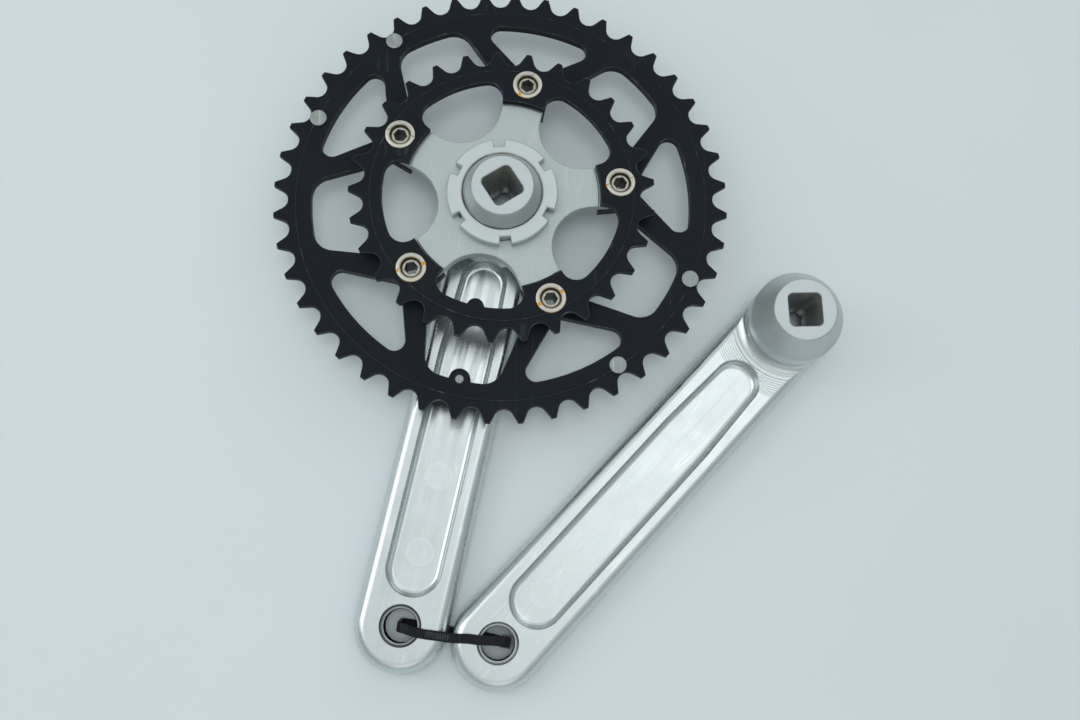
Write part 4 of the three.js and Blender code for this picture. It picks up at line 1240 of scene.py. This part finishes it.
def foot_trim():
    """Limits the left boss and its foot: the arm's width at the boss, its flat beyond the foot."""
    side = [Vector((arm_half - amount, -distance)) for distance, amount in FOOT_TAPER]
    outline = [*arc((0, 0), arm_half, 0, 180, 3), *[Vector((-point.x, point.y)) for point in side],
               *reversed(side)]
    shell = Shell()
    shell.stack([(outline, arm_side_top - 1), (outline, boss_height + PAST)])
    return shell.made("foot_trim")


def foot_marks():
    """A thin disc of scalloped tool marks round the left boss, trimmed to the flat of the arm."""
    cusps = round((BOSS_FOOT_SPREAD - BOSS_FOOT_BAND) / CUSP_PITCH)
    marks = []
    for i in range(cusps):
        radius = BOSS_FOOT_SPREAD - i * CUSP_PITCH
        crest = arm_inner_face + CUSP_DEPTH + 0.02 + 0.2 * (i / cusps) ** 2
        marks += [(radius, crest - CUSP_DEPTH), (radius - 0.35 * CUSP_PITCH, crest),
                  (radius - 0.88 * CUSP_PITCH, crest - 0.02)]
    disc = turning("foot_marks", [(0, arm_inner_face - 3), (BOSS_FOOT_SPREAD, arm_inner_face - 3), *marks,
                                  (BOSS_FOOT_BAND, arm_inner_face + 0.2), (0, arm_inner_face + 0.2)], 160)
    return joined(disc, [foot_trim()], "INTERSECT")


def right_boss():
    """The right boss: shoulder, the core that the splines stand on, the neck under the lockring, and the cone."""
    shoulder_top = spider_base - FIT_GAP
    spline_top = spider_top - FIT_GAP
    foot = shoulder_radius + outer_base - arm_inner_face
    core = turning("right_boss", [
        (0, arm_side_top), (foot, arm_side_top), (foot, arm_inner_face),
        (shoulder_radius, outer_base), (shoulder_radius, shoulder_top), (spline_root, shoulder_top),
        (spline_root, spline_top), (neck_radius, spline_top), (neck_radius, lockring_top), *boss_top()], 96)
    return core


def splines():
    """One spline, repeated round the axis."""
    pitch = 360 / SPLINE_COUNT
    inner = spline_root - 1
    ridge = [polar(inner, -pitch * SPLINE_ROOT_SHARE / 2),
             polar(spline_root, -pitch * SPLINE_ROOT_SHARE / 2),
             polar(spline_tip, -pitch * SPLINE_TIP_SHARE / 2),
             polar(spline_tip, pitch * SPLINE_TIP_SHARE / 2),
             polar(spline_root, pitch * SPLINE_ROOT_SHARE / 2),
             polar(inner, pitch * SPLINE_ROOT_SHARE / 2)]
    one = prism("splines", ridge, chamfered(outer_base, spider_top - FIT_GAP, 0.2))
    return grown(one, round_pattern, count=SPLINE_COUNT, first_angle=0.0, material=right_alloy)


def thread(name, radius, crest, pitch, base, length, centre, material):
    """The ridge of an inside thread, sunk a little into its bore."""
    blank = bpy.data.objects.new(name, bpy.data.meshes.new(name))
    bpy.context.scene.collection.objects.link(blank)
    ridge = (radius - crest) / 1.5
    grown(blank, screw_thread, radius=crest + ridge, length=length, pitch=pitch, ridge=ridge,
          base=base, material=material)
    blank.data.transform(Matrix.Translation((centre[0], centre[1], 0)))
    return blank


def crank_arm(name, boss, others=()):
    whole = joined(arm_bar(), [boss, *others], "UNION")
    joined(whole, [pocket_cutter(), pedal_hole_cutter(), *spindle_hole_cutters(), eye_relief_cutter()],
           "DIFFERENCE")
    whole.name = name
    return whole


def threads(material):
    pedal_length = arm_inner_face - PEDAL_SEAT_DEPTH - EYE_RELIEF - 1.4
    pedal = thread("pedal_thread", PEDAL_BORE_RADIUS + 0.05, PEDAL_THREAD_RADIUS, PEDAL_THREAD_PITCH,
                   EYE_RELIEF + 0.9, pedal_length, (0, -crank_length), material)
    extractor = thread("extractor_thread", EXTRACTOR_RADIUS + 0.05, EXTRACTOR_THREAD_RADIUS,
                       EXTRACTOR_THREAD_PITCH, 1.0, EXTRACTOR_DEPTH - 2.2, (0, 0), material)
    return [pedal, extractor]


def left_arm():
    arm = crank_arm("left_arm", joined(left_boss(), [foot_trim()], "INTERSECT"), [foot_marks()])
    smoothed(arm)
    gathered(arm, threads(left_alloy))
    placed(arm, left_spindle, left_turn)
    return settled(arm, left_alloy, "left_arm", "arm_alloy", "left_crank_arm")


def right_arm():
    arm = crank_arm("right_arm", joined(right_boss(), [arm_envelope()], "INTERSECT"))
    above = cylinder("above_arm", shoulder_radius + 8, arm_inner_face + 2, boss_height + PAST, 96)
    shoulder = joined(right_boss(), [above], "INTERSECT")
    joined(shoulder, spindle_hole_cutters(), "DIFFERENCE")
    joined(arm, [shoulder], "UNION")
    smoothed(arm)
    gathered(arm, [splines(), *threads(right_alloy)])
    placed(arm, right_spindle, right_turn)
    return settled(arm, right_alloy, "drive_side", "arm_alloy", "right_crank_arm")


# ---- Chainrings ----


def pitch_radius(teeth):
    return CHAIN_PITCH / (2 * math.sin(math.pi / teeth))


def root_radius(teeth):
    return pitch_radius(teeth) - ROOT_DEPTH


def tooth_sector(name, teeth, plate_radius, tooth_top):
    """One tooth and the gap after it, as a wedge of the toothed rim."""
    pitch = 360 / teeth
    tip_radius = pitch_radius(teeth) + TIP_HEIGHT
    half_tip = math.degrees(TIP_WIDTH / 2 / tip_radius)
    gap_centre = polar(pitch_radius(teeth), pitch / 2)
    toward_axis = pitch / 2 + 180
    seat = arc(gap_centre, ROLLER_SEAT_RADIUS, toward_axis + SEAT_ARC, toward_axis - SEAT_ARC, 6)
    tip = arc((0, 0), tip_radius, -half_tip, half_tip, half_tip)
    next_tip = polar(tip_radius, pitch - half_tip)
    edge = without_doubles([*tip, *seat])
    before = turned([seat[-1]], -pitch)[0]
    chain = [before, *edge, next_tip]
    shell = Shell()
    base = tooth_top - TOOTH_THICKNESS
    steps = [(TOOTH_CHAMFER, base, 0), (0, base + TOOTH_CHAMFER, 1), (0, tooth_top - TOOTH_CHAMFER, 0),
             (TOOTH_CHAMFER, tooth_top, 1)]
    inner_angles = [math.degrees(math.atan2(point.y, point.x)) for point in edge]
    inner_ring = [polar(plate_radius - 0.4, angle) for angle in [inner_angles[0], *inner_angles[1:]]]
    loops = []
    for amount, height, _ in steps:
        moved = moved_inwards(chain, amount)
        last = turned([moved[0]], pitch)
        loops.append([shell.mesh.verts.new((point.x, point.y, height)) for point in [*moved, *last]])
    ring_angles = [math.degrees(math.atan2(vertex.co.y, vertex.co.x)) for vertex in loops[0]]
    feet = [[shell.mesh.verts.new((*polar(plate_radius - 0.4, angle), height)) for angle in ring_angles]
            for height in (base, tooth_top)]
    for lower, upper, step in zip(loops, loops[1:], steps[1:]):
        for i in range(len(lower) - 1):
            shell.face((lower[i], lower[i + 1], upper[i + 1], upper[i]), step[2])
    for i in range(len(ring_angles) - 1):
        shell.face((feet[0][i], feet[0][i + 1], loops[0][i + 1], loops[0][i]))
        shell.face((feet[1][i + 1], feet[1][i], loops[-1][i], loops[-1][i + 1]))
    return shell.made(name)


def moved_inwards(chain, amount):
    """An open chain moved to its left, without its two end points."""
    moved = []
    for i in range(1, len(chain) - 1):
        before = (chain[i] - chain[i - 1]).normalized()
        after = (chain[i + 1] - chain[i]).normalized()
        normal = Vector((-before.y - after.y, before.x + after.x)).normalized()
        mitre = max(0.6, normal.dot(Vector((-before.y, before.x))))
        moved.append(chain[i] + normal * (amount / mitre))
    return moved


def bolt_window(rim_radius):
    apex = Vector((bolt_circle + SPOKE_APEX, 0))
    tip_centre = apex + Vector((WINDOW_TIP_RADIUS / math.sin(math.radians(SPOKE_INNER_ANGLE)), 0))
    corner = corner_on_circle(apex, -SPOKE_INNER_ANGLE, WINDOW_CORNER_RADIUS, rim_radius, 8)
    last = math.degrees(math.atan2(corner[-1].y, corner[-1].x))
    rim = arc((0, 0), rim_radius, last, -last, 2)[1:-1]
    tip = arc(tip_centre, WINDOW_TIP_RADIUS, 90 + SPOKE_INNER_ANGLE, 270 - SPOKE_INNER_ANGLE, 8)
    return without_doubles([*tip, *corner, *rim, *mirrored(corner)])


def opening(rim_radius, tab_end, half_tab, flare, corner_radius, curved_tab):
    """A chainring's inner opening, which runs from one tab to the next."""
    tab_corner = Vector((math.sqrt(tab_end ** 2 - half_tab ** 2), half_tab))
    start = tab_corner
    side = [tab_corner]
    if not curved_tab:
        start = Vector((tab_end + half_tab / math.tan(math.radians(flare)), half_tab))
        side.append(start)
    corner = corner_on_circle(start, flare, corner_radius, rim_radius, 6)
    rim_start = math.degrees(math.atan2(corner[-1].y, corner[-1].x))
    rim = arc((0, 0), rim_radius, rim_start, 2 * sector - rim_start, 2.5)[1:-1]
    side += corner
    tab_angle = math.degrees(math.atan2(half_tab, tab_corner.x))
    face = arc((0, 0), tab_end, -tab_angle, tab_angle, 2.5)[1:-1]
    far_side = turned(mirrored(side), 2 * sector)
    return without_doubles(repeated([*face, *side, *rim, *far_side], BOLT_COUNT, first_bolt_angle))


def lobed(outline, centre, radius):
    """An opening's outline, pushed in where a round lobe stands on its edge."""
    pushed = []
    for point in outline:
        away = point - centre
        if away.length < radius:
            direction = (-centre).normalized()
            along = away.dot(direction)
            across = away - direction * along
            reach = math.sqrt(max(0, radius ** 2 - across.length ** 2))
            point = centre + across + direction * max(along, reach)
        pushed.append(point)
    return pushed


def finely(outline, longest=0.6):
    """The outline with its long sides divided."""
    points = []
    for i, point in enumerate(outline):
        after = outline[(i + 1) % len(outline)]
        count = max(1, math.ceil((after - point).length / longest))
        points += [point.lerp(after, k / count) for k in range(count)]
    return points


def chain_pin_centre():
    return polar(root_radius(OUTER_TEETH) - OUTER_RIM_WIDTH - CHAIN_PIN_SETBACK, CHAIN_PIN_ANGLE)


def toothed_rim(name, teeth, first_tooth, plate_radius, tooth_top):
    rim = tooth_sector(name, teeth, plate_radius, tooth_top)
    return grown(rim, round_pattern, count=teeth, first_angle=math.radians(first_tooth), material=anodised)


def outer_chainring():
    rim_radius = root_radius(OUTER_TEETH) - OUTER_RIM_WIDTH
    plate_radius = root_radius(OUTER_TEETH) - OUTER_PLATE_EDGE
    pin = chain_pin_centre()
    inner_edge = opening(rim_radius, bolt_circle - OUTER_TAB_REACH, OUTER_TAB_WIDTH / 2, SPOKE_OUTER_ANGLE,
                         OPENING_CORNER_RADIUS, False)
    holes = [without_doubles(lobed(finely(inner_edge), pin, CHAIN_PIN_LOBE))]
    for centre in bolt_centres:
        window = turned(bolt_window(rim_radius), heading(Vector((0, 0)), centre))
        holes.append(without_doubles(lobed(finely(window), pin, CHAIN_PIN_LOBE)))
    holes += [circle(nut_sleeve + HOLE_GAP, 40, centre) for centre in bolt_centres]
    holes += [circle(SHIFT_PIN_SHANK_RADIUS + HOLE_GAP, 24, centre) for centre in shift_pin_centres]
    holes.append(circle(CHAIN_PIN_RADIUS + 0.05, 32, pin))
    ring = prism("outer_ring", circle(plate_radius, 360), chamfered(outer_base, outer_top, PLATE_CHAMFER), holes)
    counterbores = [cylinder("seat", bolt_head + HOLE_GAP, outer_base - PAST, outer_base + BOLT_SEAT_DEPTH,
                             40, centre) for centre in bolt_centres]
    joined(ring, counterbores + shift_ramp() + milled_spoke(), "DIFFERENCE")
    smoothed(ring)
    rim = toothed_rim("outer_teeth", OUTER_TEETH, OUTER_TOOTH_ANGLE, plate_radius, outer_top - TOOTH_SETBACK)
    joined(rim, shift_ramp(), "DIFFERENCE")
    gathered(ring, [smoothed(rim)])
    placed(ring, right_spindle)
    return settled(ring, anodised, "drive_side", "black_anodised", "outer_chainring")


def shift_ramp():
    """The relief round two teeth over the right arm, which lets the chain climb."""
    floor = outer_top - TOOTH_SETBACK - RAMP_DEPTH
    first, last = RAMP_ANGLES
    inner = arc((0, 0), RAMP_RADIUS, last - 3.2, first + 2.6, 1)
    outer = arc((0, 0), RAMP_RADIUS + 12, first - 1.2, last, 1)
    outline = without_doubles([*outer, polar(RAMP_RADIUS + 3.5, last), polar(RAMP_RADIUS + 1.3, last - 0.8),
                               *inner, polar(RAMP_RADIUS + 1.1, first + 0.6),
                               polar(RAMP_RADIUS + 3.4, first - 0.8)])
    return [prism("ramp", outline, [(0, floor, 0), (0, outer_top + PAST, 0)])]


def milled_spoke():
    """A straight-edged step milled across one spoke."""
    start = polar(bolt_circle + 23.4, SPOKE_STEP_ANGLE + 4.5)
    end = polar(bolt_circle + 32.4, SPOKE_STEP_ANGLE - 4.5)
    along = (end - start).normalized()
    side = Vector((along.y, -along.x))
    if side.dot(start) > 0:
        side = -side
    floor = outer_top - 0.35
    corners = [start - along * 1.5, start - along * 1.5 + side * 26, end + side * 26, end]
    if (corners[1] - corners[0]).cross(corners[2] - corners[1]) < 0:
        corners.reverse()
    return [prism("spoke_step", corners, [(0, floor, 0), (0, outer_top + PAST, 0)])]


def inner_chainring():
    rim_radius = root_radius(INNER_TEETH) - INNER_RIM_WIDTH
    plate_radius = root_radius(INNER_TEETH) - INNER_PLATE_EDGE
    inner_edge = opening(rim_radius, bolt_circle - INNER_TAB_REACH, INNER_TAB_WIDTH / 2, INNER_TAB_FLARE,
                         INNER_OPENING_CORNER, True)
    lobe = polar(rim_radius + CHAIN_PIN_SETBACK, CHAIN_PIN_ANGLE)
    holes = [without_doubles(lobed(finely(inner_edge), lobe, ALIGNMENT_LOBE))]
    holes += [circle(nut_sleeve + HOLE_GAP, 40, centre) for centre in bolt_centres]
    ring = prism("inner_ring", circle(plate_radius, 288), chamfered(inner_base, inner_top, PLATE_CHAMFER), holes)
    seats = [cylinder("seat", nut_flange + HOLE_GAP, inner_top - NUT_SEAT_DEPTH, inner_top + PAST, 48, centre)
             for centre in bolt_centres]
    joined(ring, seats, "DIFFERENCE")
    smoothed(ring)
    rim = toothed_rim("inner_teeth", INNER_TEETH, INNER_TOOTH_ANGLE, plate_radius, inner_top - TOOTH_SETBACK)
    gathered(ring, [smoothed(rim)])
    placed(ring, right_spindle)
    return settled(ring, anodised, "drive_side", "black_anodised", "inner_chainring")


# ---- Spider and lockring ----


def spider_outline():
    scallop_centre = bolt_circle - SPIDER_SCALLOP_INSET
    scallop_radius = scallop_centre * math.sin(math.radians(sector)) - SPIDER_TAB_WIDTH / 2
    scallop = arc(polar(scallop_centre, sector), scallop_radius, 270, 90 + 2 * sector, 4)
    tip = bolt_circle + SPIDER_TAB_REACH
    corner_centre = (tip - SPIDER_TAB_CORNER, SPIDER_TAB_WIDTH / 2 - SPIDER_TAB_CORNER)
    corner = arc(corner_centre, SPIDER_TAB_CORNER, 0, 90, 8)
    next_corner = turned(mirrored(corner), 2 * sector)
    return without_doubles(repeated([*corner, *scallop, *next_corner], BOLT_COUNT, first_bolt_angle))


def spline_hole():
    pitch = 360 / SPLINE_COUNT
    ridge = [polar(spline_root + FIT_GAP, -pitch * SPLINE_ROOT_SHARE / 2),
             polar(spline_tip + FIT_GAP, -pitch * SPLINE_TIP_SHARE / 2),
             polar(spline_tip + FIT_GAP, pitch * SPLINE_TIP_SHARE / 2),
             polar(spline_root + FIT_GAP, pitch * SPLINE_ROOT_SHARE / 2)]
    return repeated(ridge, SPLINE_COUNT, right_turn)


def spider():
    holes = [spline_hole(), *[circle(nut_sleeve + HOLE_GAP, 40, centre) for centre in bolt_centres]]
    piece = prism("spider_plate", spider_outline(), chamfered(spider_base, spider_top, SPIDER_CHAMFER), holes)
    shelf = bolt_circle - INNER_TAB_REACH - SPIDER_SHELF_GAP
    reach = bolt_circle + SPIDER_TAB_REACH + PAST
    step = turning("shelf", [(shelf, inner_base), (reach, inner_base), (reach, spider_top + PAST),
                             (shelf - 0.25, spider_top + PAST), (shelf - 0.25, spider_top),
                             (shelf, spider_top - 0.25)], 180, closed=True)
    joined(piece, [step], "DIFFERENCE")
    smoothed(piece)
    placed(piece, right_spindle)
    return settled(piece, blasted, "drive_side", "spider_alloy", "spider")


def lockring():
    half_notch = math.degrees(LOCKRING_NOTCH_WIDTH / 2 / lockring_radius)
    pitch = 360 / LOCKRING_NOTCHES
    floor = lockring_radius - LOCKRING_NOTCH_DEPTH
    notch = [polar(floor, -half_notch), polar(floor, half_notch)]
    rim = arc((0, 0), lockring_radius, half_notch, pitch - half_notch, 2.5)
    outline = without_doubles(repeated([*notch, *rim], LOCKRING_NOTCHES, LOCKRING_NOTCH_ANGLE))
    edge = chamfered(spider_top, lockring_top, LOCKRING_CHAMFER)
    bore = circle(lockring_bore, 96)
    piece = prism("lockring_body", outline, edge, [bore])
    smoothed(piece)
    placed(piece, right_spindle)
    return settled(piece, turned_alloy, "drive_side", "lockring_alloy", "lockring")


# ---- Fasteners and pins ----


def chainring_nut(number):
    seat = inner_top - NUT_SEAT_DEPTH
    flange_top = seat + NUT_FLANGE_THICKNESS
    bore = BOLT_SHANK_RADIUS + HOLE_GAP
    base = outer_base + BOLT_SEAT_DEPTH + BOLT_HEAD_THICKNESS
    body = turning(f"nut_{number}", [
        (bore, base), (nut_sleeve, base), (nut_sleeve, seat), (nut_flange, seat),
        (nut_flange, flange_top - 0.45), (nut_flange - 0.15, flange_top - 0.18, 1),
        (nut_flange - 0.5, flange_top, 1), (bore + 0.35, flange_top), (bore, flange_top - 0.35, 1)],
        64, closed=True)
    half = NUT_SLOT_WIDTH / 2
    reach = nut_flange + PAST
    slot = [Vector((reach, -half)), Vector((reach, half)), Vector((-reach, half)), Vector((-reach, -half))]
    slot = turned(slot, NUT_SLOT_ANGLES[number - 1])
    joined(body, [prism("slot", slot, [(0, flange_top - NUT_SLOT_DEPTH, 0), (0, flange_top + PAST, 0)])],
           "DIFFERENCE")
    smoothed(body)
    marked(body, "rust", NUT_RUST[number - 1])
    placed(body, right_spindle + bolt_centres[number - 1])
    return settled(body, nickel, "drive_side", "nickel_steel", f"chainring_nut_{number}")


def chainring_bolt(number):
    seat = outer_base + BOLT_SEAT_DEPTH
    head_base = seat - BOLT_HEAD_THICKNESS
    shank_top = inner_top - NUT_SEAT_DEPTH + NUT_FLANGE_THICKNESS - BOLT_SUNK
    body = turning(f"bolt_{number}", [
        (0, head_base), (bolt_head - 0.6, head_base), (bolt_head, head_base + 0.5, 1), (bolt_head, seat),
        (BOLT_SHANK_RADIUS, seat), (BOLT_SHANK_RADIUS, shank_top - 0.7),
        (BOLT_SHANK_RADIUS - 0.7, shank_top, 1), (0, shank_top)], 48)
    flats = BOLT_HEX_FLATS / 2 / math.cos(math.pi / 6)
    hexagon = turned(circle(flats, 6), HEX_TURNS[number - 1])
    joined(body, [prism("socket", hexagon, [(0, head_base - PAST, 0), (0, shank_top + PAST, 0)])], "DIFFERENCE")
    smoothed(body)
    placed(body, right_spindle + bolt_centres[number - 1])
    return settled(body, nickel, "drive_side", "nickel_steel", f"chainring_bolt_{number}")


def shift_pin(number):
    height = top(f"shift_pin_{number}")
    radius = SHIFT_PIN_HEAD_RADIUS
    pin = turning(f"shift_pin_head_{number}", [
        (0, outer_base), (SHIFT_PIN_SHANK_RADIUS, outer_base), (SHIFT_PIN_SHANK_RADIUS, outer_top),
        (radius - 0.1, outer_top), (radius, outer_top + 0.12), (radius, height - 0.3),
        (radius - 0.1, height - 0.1, 1), (radius - 0.35, height, 1), (radius - 1.2, height),
        (0.9, height), (0.6, height - 0.06), (0, height - 0.06)], 56)
    smoothed(pin, 24)
    placed(pin, right_spindle + shift_pin_centres[number - 1])
    return settled(pin, steel, "drive_side", "pin_steel", f"shift_pin_{number}")


def chain_drop_pin():
    end = bottom("chain_drop_pin")
    radius = CHAIN_PIN_RADIUS
    pin = turning("chain_drop_pin_body", [
        (0, end), (radius - 0.4, end), (radius, end + 0.4, 1), (radius, outer_top - 0.2),
        (radius - 0.2, outer_top, 1), (0.55, outer_top), (0.4, outer_top - 0.12), (0, outer_top - 0.12)], 48)
    smoothed(pin, 24)
    placed(pin, right_spindle + chain_pin_centre())
    return settled(pin, steel, "drive_side", "pin_steel", "chain_drop_pin")


# ---- Tie ----

tie_span = (left_pedal - right_pedal).length
tie_turn = heading(right_pedal, left_pedal)
tie_head_start = tie_span + 6.9 - TIE_HEAD_TO_BORE - TIE_HEAD_LENGTH


def tie_route():
    """The strap's middle line in a side view: distance from the right pedal axis, and height."""
    low = TIE_FLOOR_GAP + TIE_THICKNESS / 2
    high = arm_inner_face + TIE_GAP + TIE_THICKNESS / 2
    root = tie_head_start + TIE_ROOT_INSET
    tail = tie_head_start + TIE_SLOT_INSET
    corners = [Vector(pair) for pair in (
        (root, TIE_HEAD_BASE + 1), (root, low), (-TIE_TURN_OFFSET, low), (-TIE_TURN_OFFSET, high),
        (tail, high), (tail, TIE_HEAD_BASE - TIE_TAIL))]
    route = [corners[0]]
    for before, corner, after in zip(corners, corners[1:], corners[2:]):
        route += rounded_corner(before, corner, after, TIE_BEND, 9)
    return finely([*route, corners[-1]], 1.0)[:-1]


def strap_section():
    """The strap's section: across, and out from its middle line, with raised rails at both edges."""
    half = TIE_WIDTH / 2
    thick = TIE_THICKNESS / 2
    return [Vector(pair) for pair in (
        (-half, -thick + 0.2), (-half + 0.2, -thick), (half - 0.2, -thick), (half, -thick + 0.2),
        (half, thick - 0.2), (half - 0.2, thick), (half - 0.75, thick), (half - 0.95, thick - 0.18),
        (-half + 0.95, thick - 0.18), (-half + 0.75, thick), (-half + 0.2, thick), (-half, thick - 0.2))]


def bow(along):
    """The upper run's sideways place at a distance from the right pedal axis."""
    if along <= TIE_BOW[0][0]:
        return TIE_BOW[0][1]
    for (start, first), (end, last) in zip(TIE_BOW, TIE_BOW[1:]):
        if along < end:
            share = (along - start) / (end - start)
            return first + (last - first) * share * share * (3 - 2 * share)
    return TIE_BOW[-1][1]


def sideways(along, height):
    """The strap's sideways place: the lower run is straight, the upper run bows."""
    share = min(1, max(0, height / arm_inner_face))
    if along > tie_head_start - 2:
        return bow(along)
    return TIE_SKEW / 2 * (1 - share) + bow(along) * share


def strap():
    route = tie_route()
    section = strap_section()
    shell = Shell()
    rings = []
    for i, point in enumerate(route):
        along = (route[min(i + 1, len(route) - 1)] - route[max(i - 1, 0)]).normalized()
        outward = Vector((along.y, -along.x))
        ring = []
        for place in section:
            spot = point + outward * place.y
            ring.append(shell.mesh.verts.new((spot.x, sideways(point.x, point.y) - place.x, spot.y)))
        rings.append(ring)
    for lower, upper in zip(rings, rings[1:]):
        shell.wall(lower, upper)
    shell.face(list(reversed(rings[0])))
    shell.face(rings[-1])
    return shell.made("tie_strap")


def tie_block(name, low, high, chamfer):
    """A block with broken edges between two corners."""
    outline = [Vector((low[0], low[1])), Vector((high[0], low[1])), Vector((high[0], high[1])),
               Vector((low[0], high[1]))]
    return prism(name, rounded(outline, chamfer * 1.5, 30), chamfered(low[2], high[2], chamfer))


def tie_head():
    shift = bow(tie_head_start + TIE_HEAD_LENGTH / 2)
    half = TIE_HEAD_WIDTH / 2
    end = tie_head_start + TIE_HEAD_LENGTH
    head = tie_block("tie_head", (tie_head_start, shift - half, TIE_HEAD_BASE),
                     (end, shift + half, TIE_HEAD_BASE + TIE_HEAD_HEIGHT), 0.5)
    middle_x = tie_head_start + TIE_SLOT_INSET
    gap = TIE_THICKNESS / 2 + 0.25
    slot = tie_block("tie_slot", (middle_x - gap, shift - TIE_WIDTH / 2 - 0.25, TIE_HEAD_BASE - PAST),
                     (middle_x + gap, shift + TIE_WIDTH / 2 + 0.25, TIE_HEAD_BASE + TIE_HEAD_HEIGHT + PAST), 0.1)
    return joined(head, [slot], "DIFFERENCE")


def tie_ribs():
    """Moulded ribs across the upper run."""
    height = arm_inner_face + TIE_GAP + TIE_THICKNESS
    across = bow(TIE_RIB_START + TIE_RIB_COUNT * TIE_RIB_SPACING / 2)
    half = TIE_WIDTH / 2 - 0.75
    rib = tie_block("tie_ribs", (0, across - half, height - 0.5), (0.45, across + half, height + 0.08), 0.12)
    rib.data.transform(Matrix.Translation((TIE_RIB_START, 0, 0)))
    return grown(rib, row_pattern, count=TIE_RIB_COUNT, spacing=(TIE_RIB_SPACING, 0, 0), material=nylon)


def cable_tie():
    tie = smoothed(strap(), 40)
    gathered(tie, [smoothed(tie_head()), smoothed(tie_ribs())])
    tie.name = "nylon_tie"
    placed(tie, right_pedal, tie_turn)
    return settled(tie, nylon, "cable_tie", "black_nylon", "cable_tie")


# ---- Table, lights and camera ----


def table():
    finish = Finish("pale_table", 0.0, 0.55)
    grain = finish.group(surface_grain, grain_size=0.0012, patch_size=0.16)
    marks = finish.group(specks, spacing=0.05, speck_size=0.03)["Specks"]
    tone = finish.mixed(grain["Patches"], (0.515, 0.56, 0.575), (0.545, 0.59, 0.605))
    finish.colour(finish.mixed(finish.times(marks, 0.25), tone, (0.34, 0.36, 0.35)))
    finish.bumps((grain["Grain"], 0.00001),)
    shell = Shell()
    size = 2.5
    outline = [Vector((-size, -size)), Vector((size, -size)), Vector((size, size)), Vector((-size, size))]
    shell.prism(outline, [(0, -0.02, 0), (0, -0.0001, 0)])
    floor = shell.made("table_top")
    floor.data.materials.append(finish.material)


def area_light(name, place, target, size, power, colour, mirrored_in_metal=True):
    light = bpy.data.lights.new(name, "AREA")
    light.shape = "RECTANGLE"
    light.size, light.size_y = size
    light.energy = power
    light.color = colour
    lamp = bpy.data.objects.new(name, light)
    bpy.context.scene.collection.objects.link(lamp)
    lamp.location = place
    lamp.rotation_euler = (Vector(target) - Vector(place)).to_track_quat("-Z", "Y").to_euler()
    lamp.visible_glossy = mirrored_in_metal


def soft_tent():
    """A white tent: a soft glow overhead with two brighter windows beside it, and dimmer sides."""
    world = bpy.data.worlds.new("soft_tent")
    bpy.context.scene.world = world
    world.use_nodes = True
    tree = world.node_tree
    direction = tree.nodes.new("ShaderNodeTexCoord").outputs["Object"]
    parts = tree.nodes.new("ShaderNodeSeparateXYZ")
    tree.links.new(direction, parts.inputs[0])
    tone = tree.nodes.new("ShaderNodeMix")
    tone.data_type = "RGBA"
    tone.inputs["A"].default_value = (0.42, 0.455, 0.465, 1)
    tone.inputs["B"].default_value = (0.69, 0.745, 0.76, 1)
    tree.links.new(spread(tree, parts.outputs["Z"], 0.50, 0.95), tone.inputs["Factor"])
    glow = None
    for place, near, far, power in (((0.27, 0.18, 1.0), 0.99, 0.94, 0.75),
                                    ((-0.62, 0.25, 1.0), 0.985, 0.90, 0.60),
                                    ((0.10, -1.0, 0.75), 0.99, 0.90, 0.45),
                                    ((-0.2, 1.0, 0.55), 0.99, 0.92, 0.40)):
        facing = tree.nodes.new("ShaderNodeVectorMath")
        facing.operation = "DOT_PRODUCT"
        facing.inputs[1].default_value = Vector(place).normalized()
        tree.links.new(direction, facing.inputs[0])
        window = spread(tree, facing.outputs["Value"], far, near, 0.0, power)
        glow = window if glow is None else math_node(tree, "ADD", glow, window)
    lit = tree.nodes.new("ShaderNodeMix")
    lit.data_type = "RGBA"
    lit.blend_type = "ADD"
    lit.inputs["B"].default_value = (0.97, 1.0, 1.0, 1)
    tree.links.new(glow, lit.inputs["Factor"])
    tree.links.new(tone.outputs["Result"], lit.inputs["A"])
    sky = tree.nodes["Background"]
    sky.inputs["Strength"].default_value = 1.0
    tree.links.new(lit.outputs["Result"], sky.inputs["Color"])
    area_light("overhead_panel", (-0.02, -0.14, 1.3), (0, 0, 0), (0.5, 0.5), 5.3, (0.95, 1.0, 1.0), False)
    area_light("far_panel", (0.75, 0.9, 0.7), (0, 0, 0), (0.8, 0.6), 1.6, (0.93, 1.0, 1.0))
    area_light("side_panel", (-0.8, 0.1, 0.6), (0, 0, 0), (0.5, 0.8), 1.6, (0.92, 1.0, 1.0))


def camera():
    """The camera looks down a little from the pedal end."""
    data = bpy.data.cameras.new("camera")
    data.lens = 35.78
    data.sensor_width = 36
    eye = bpy.data.objects.new("camera", data)
    bpy.context.scene.collection.objects.link(eye)
    place = Vector((-22.738, -106.004, 427.723)) * MM
    right = Vector((0.99894612, 0.01179476, 0.04435682))
    up = Vector((-0.02110826, 0.97621125, 0.21579166))
    back = Vector((-0.04075641, -0.21650054, 0.97543141))
    eye.matrix_world = Matrix((
        (right.x, up.x, back.x, place.x), (right.y, up.y, back.y, place.y),
        (right.z, up.z, back.z, place.z), (0, 0, 0, 1)))
    bpy.context.scene.camera = eye


# ---- Assembly ----

bpy.context.scene.view_settings.view_transform = "Standard"
camera()
soft_tent()
table()
left_arm()
right_arm()
spider()
lockring()
outer_chainring()
inner_chainring()
for number in range(1, BOLT_COUNT + 1):
    chainring_nut(number)
    chainring_bolt(number)
for number in range(1, len(shift_pin_centres) + 1):
    shift_pin(number)
chain_drop_pin()
cable_tie()
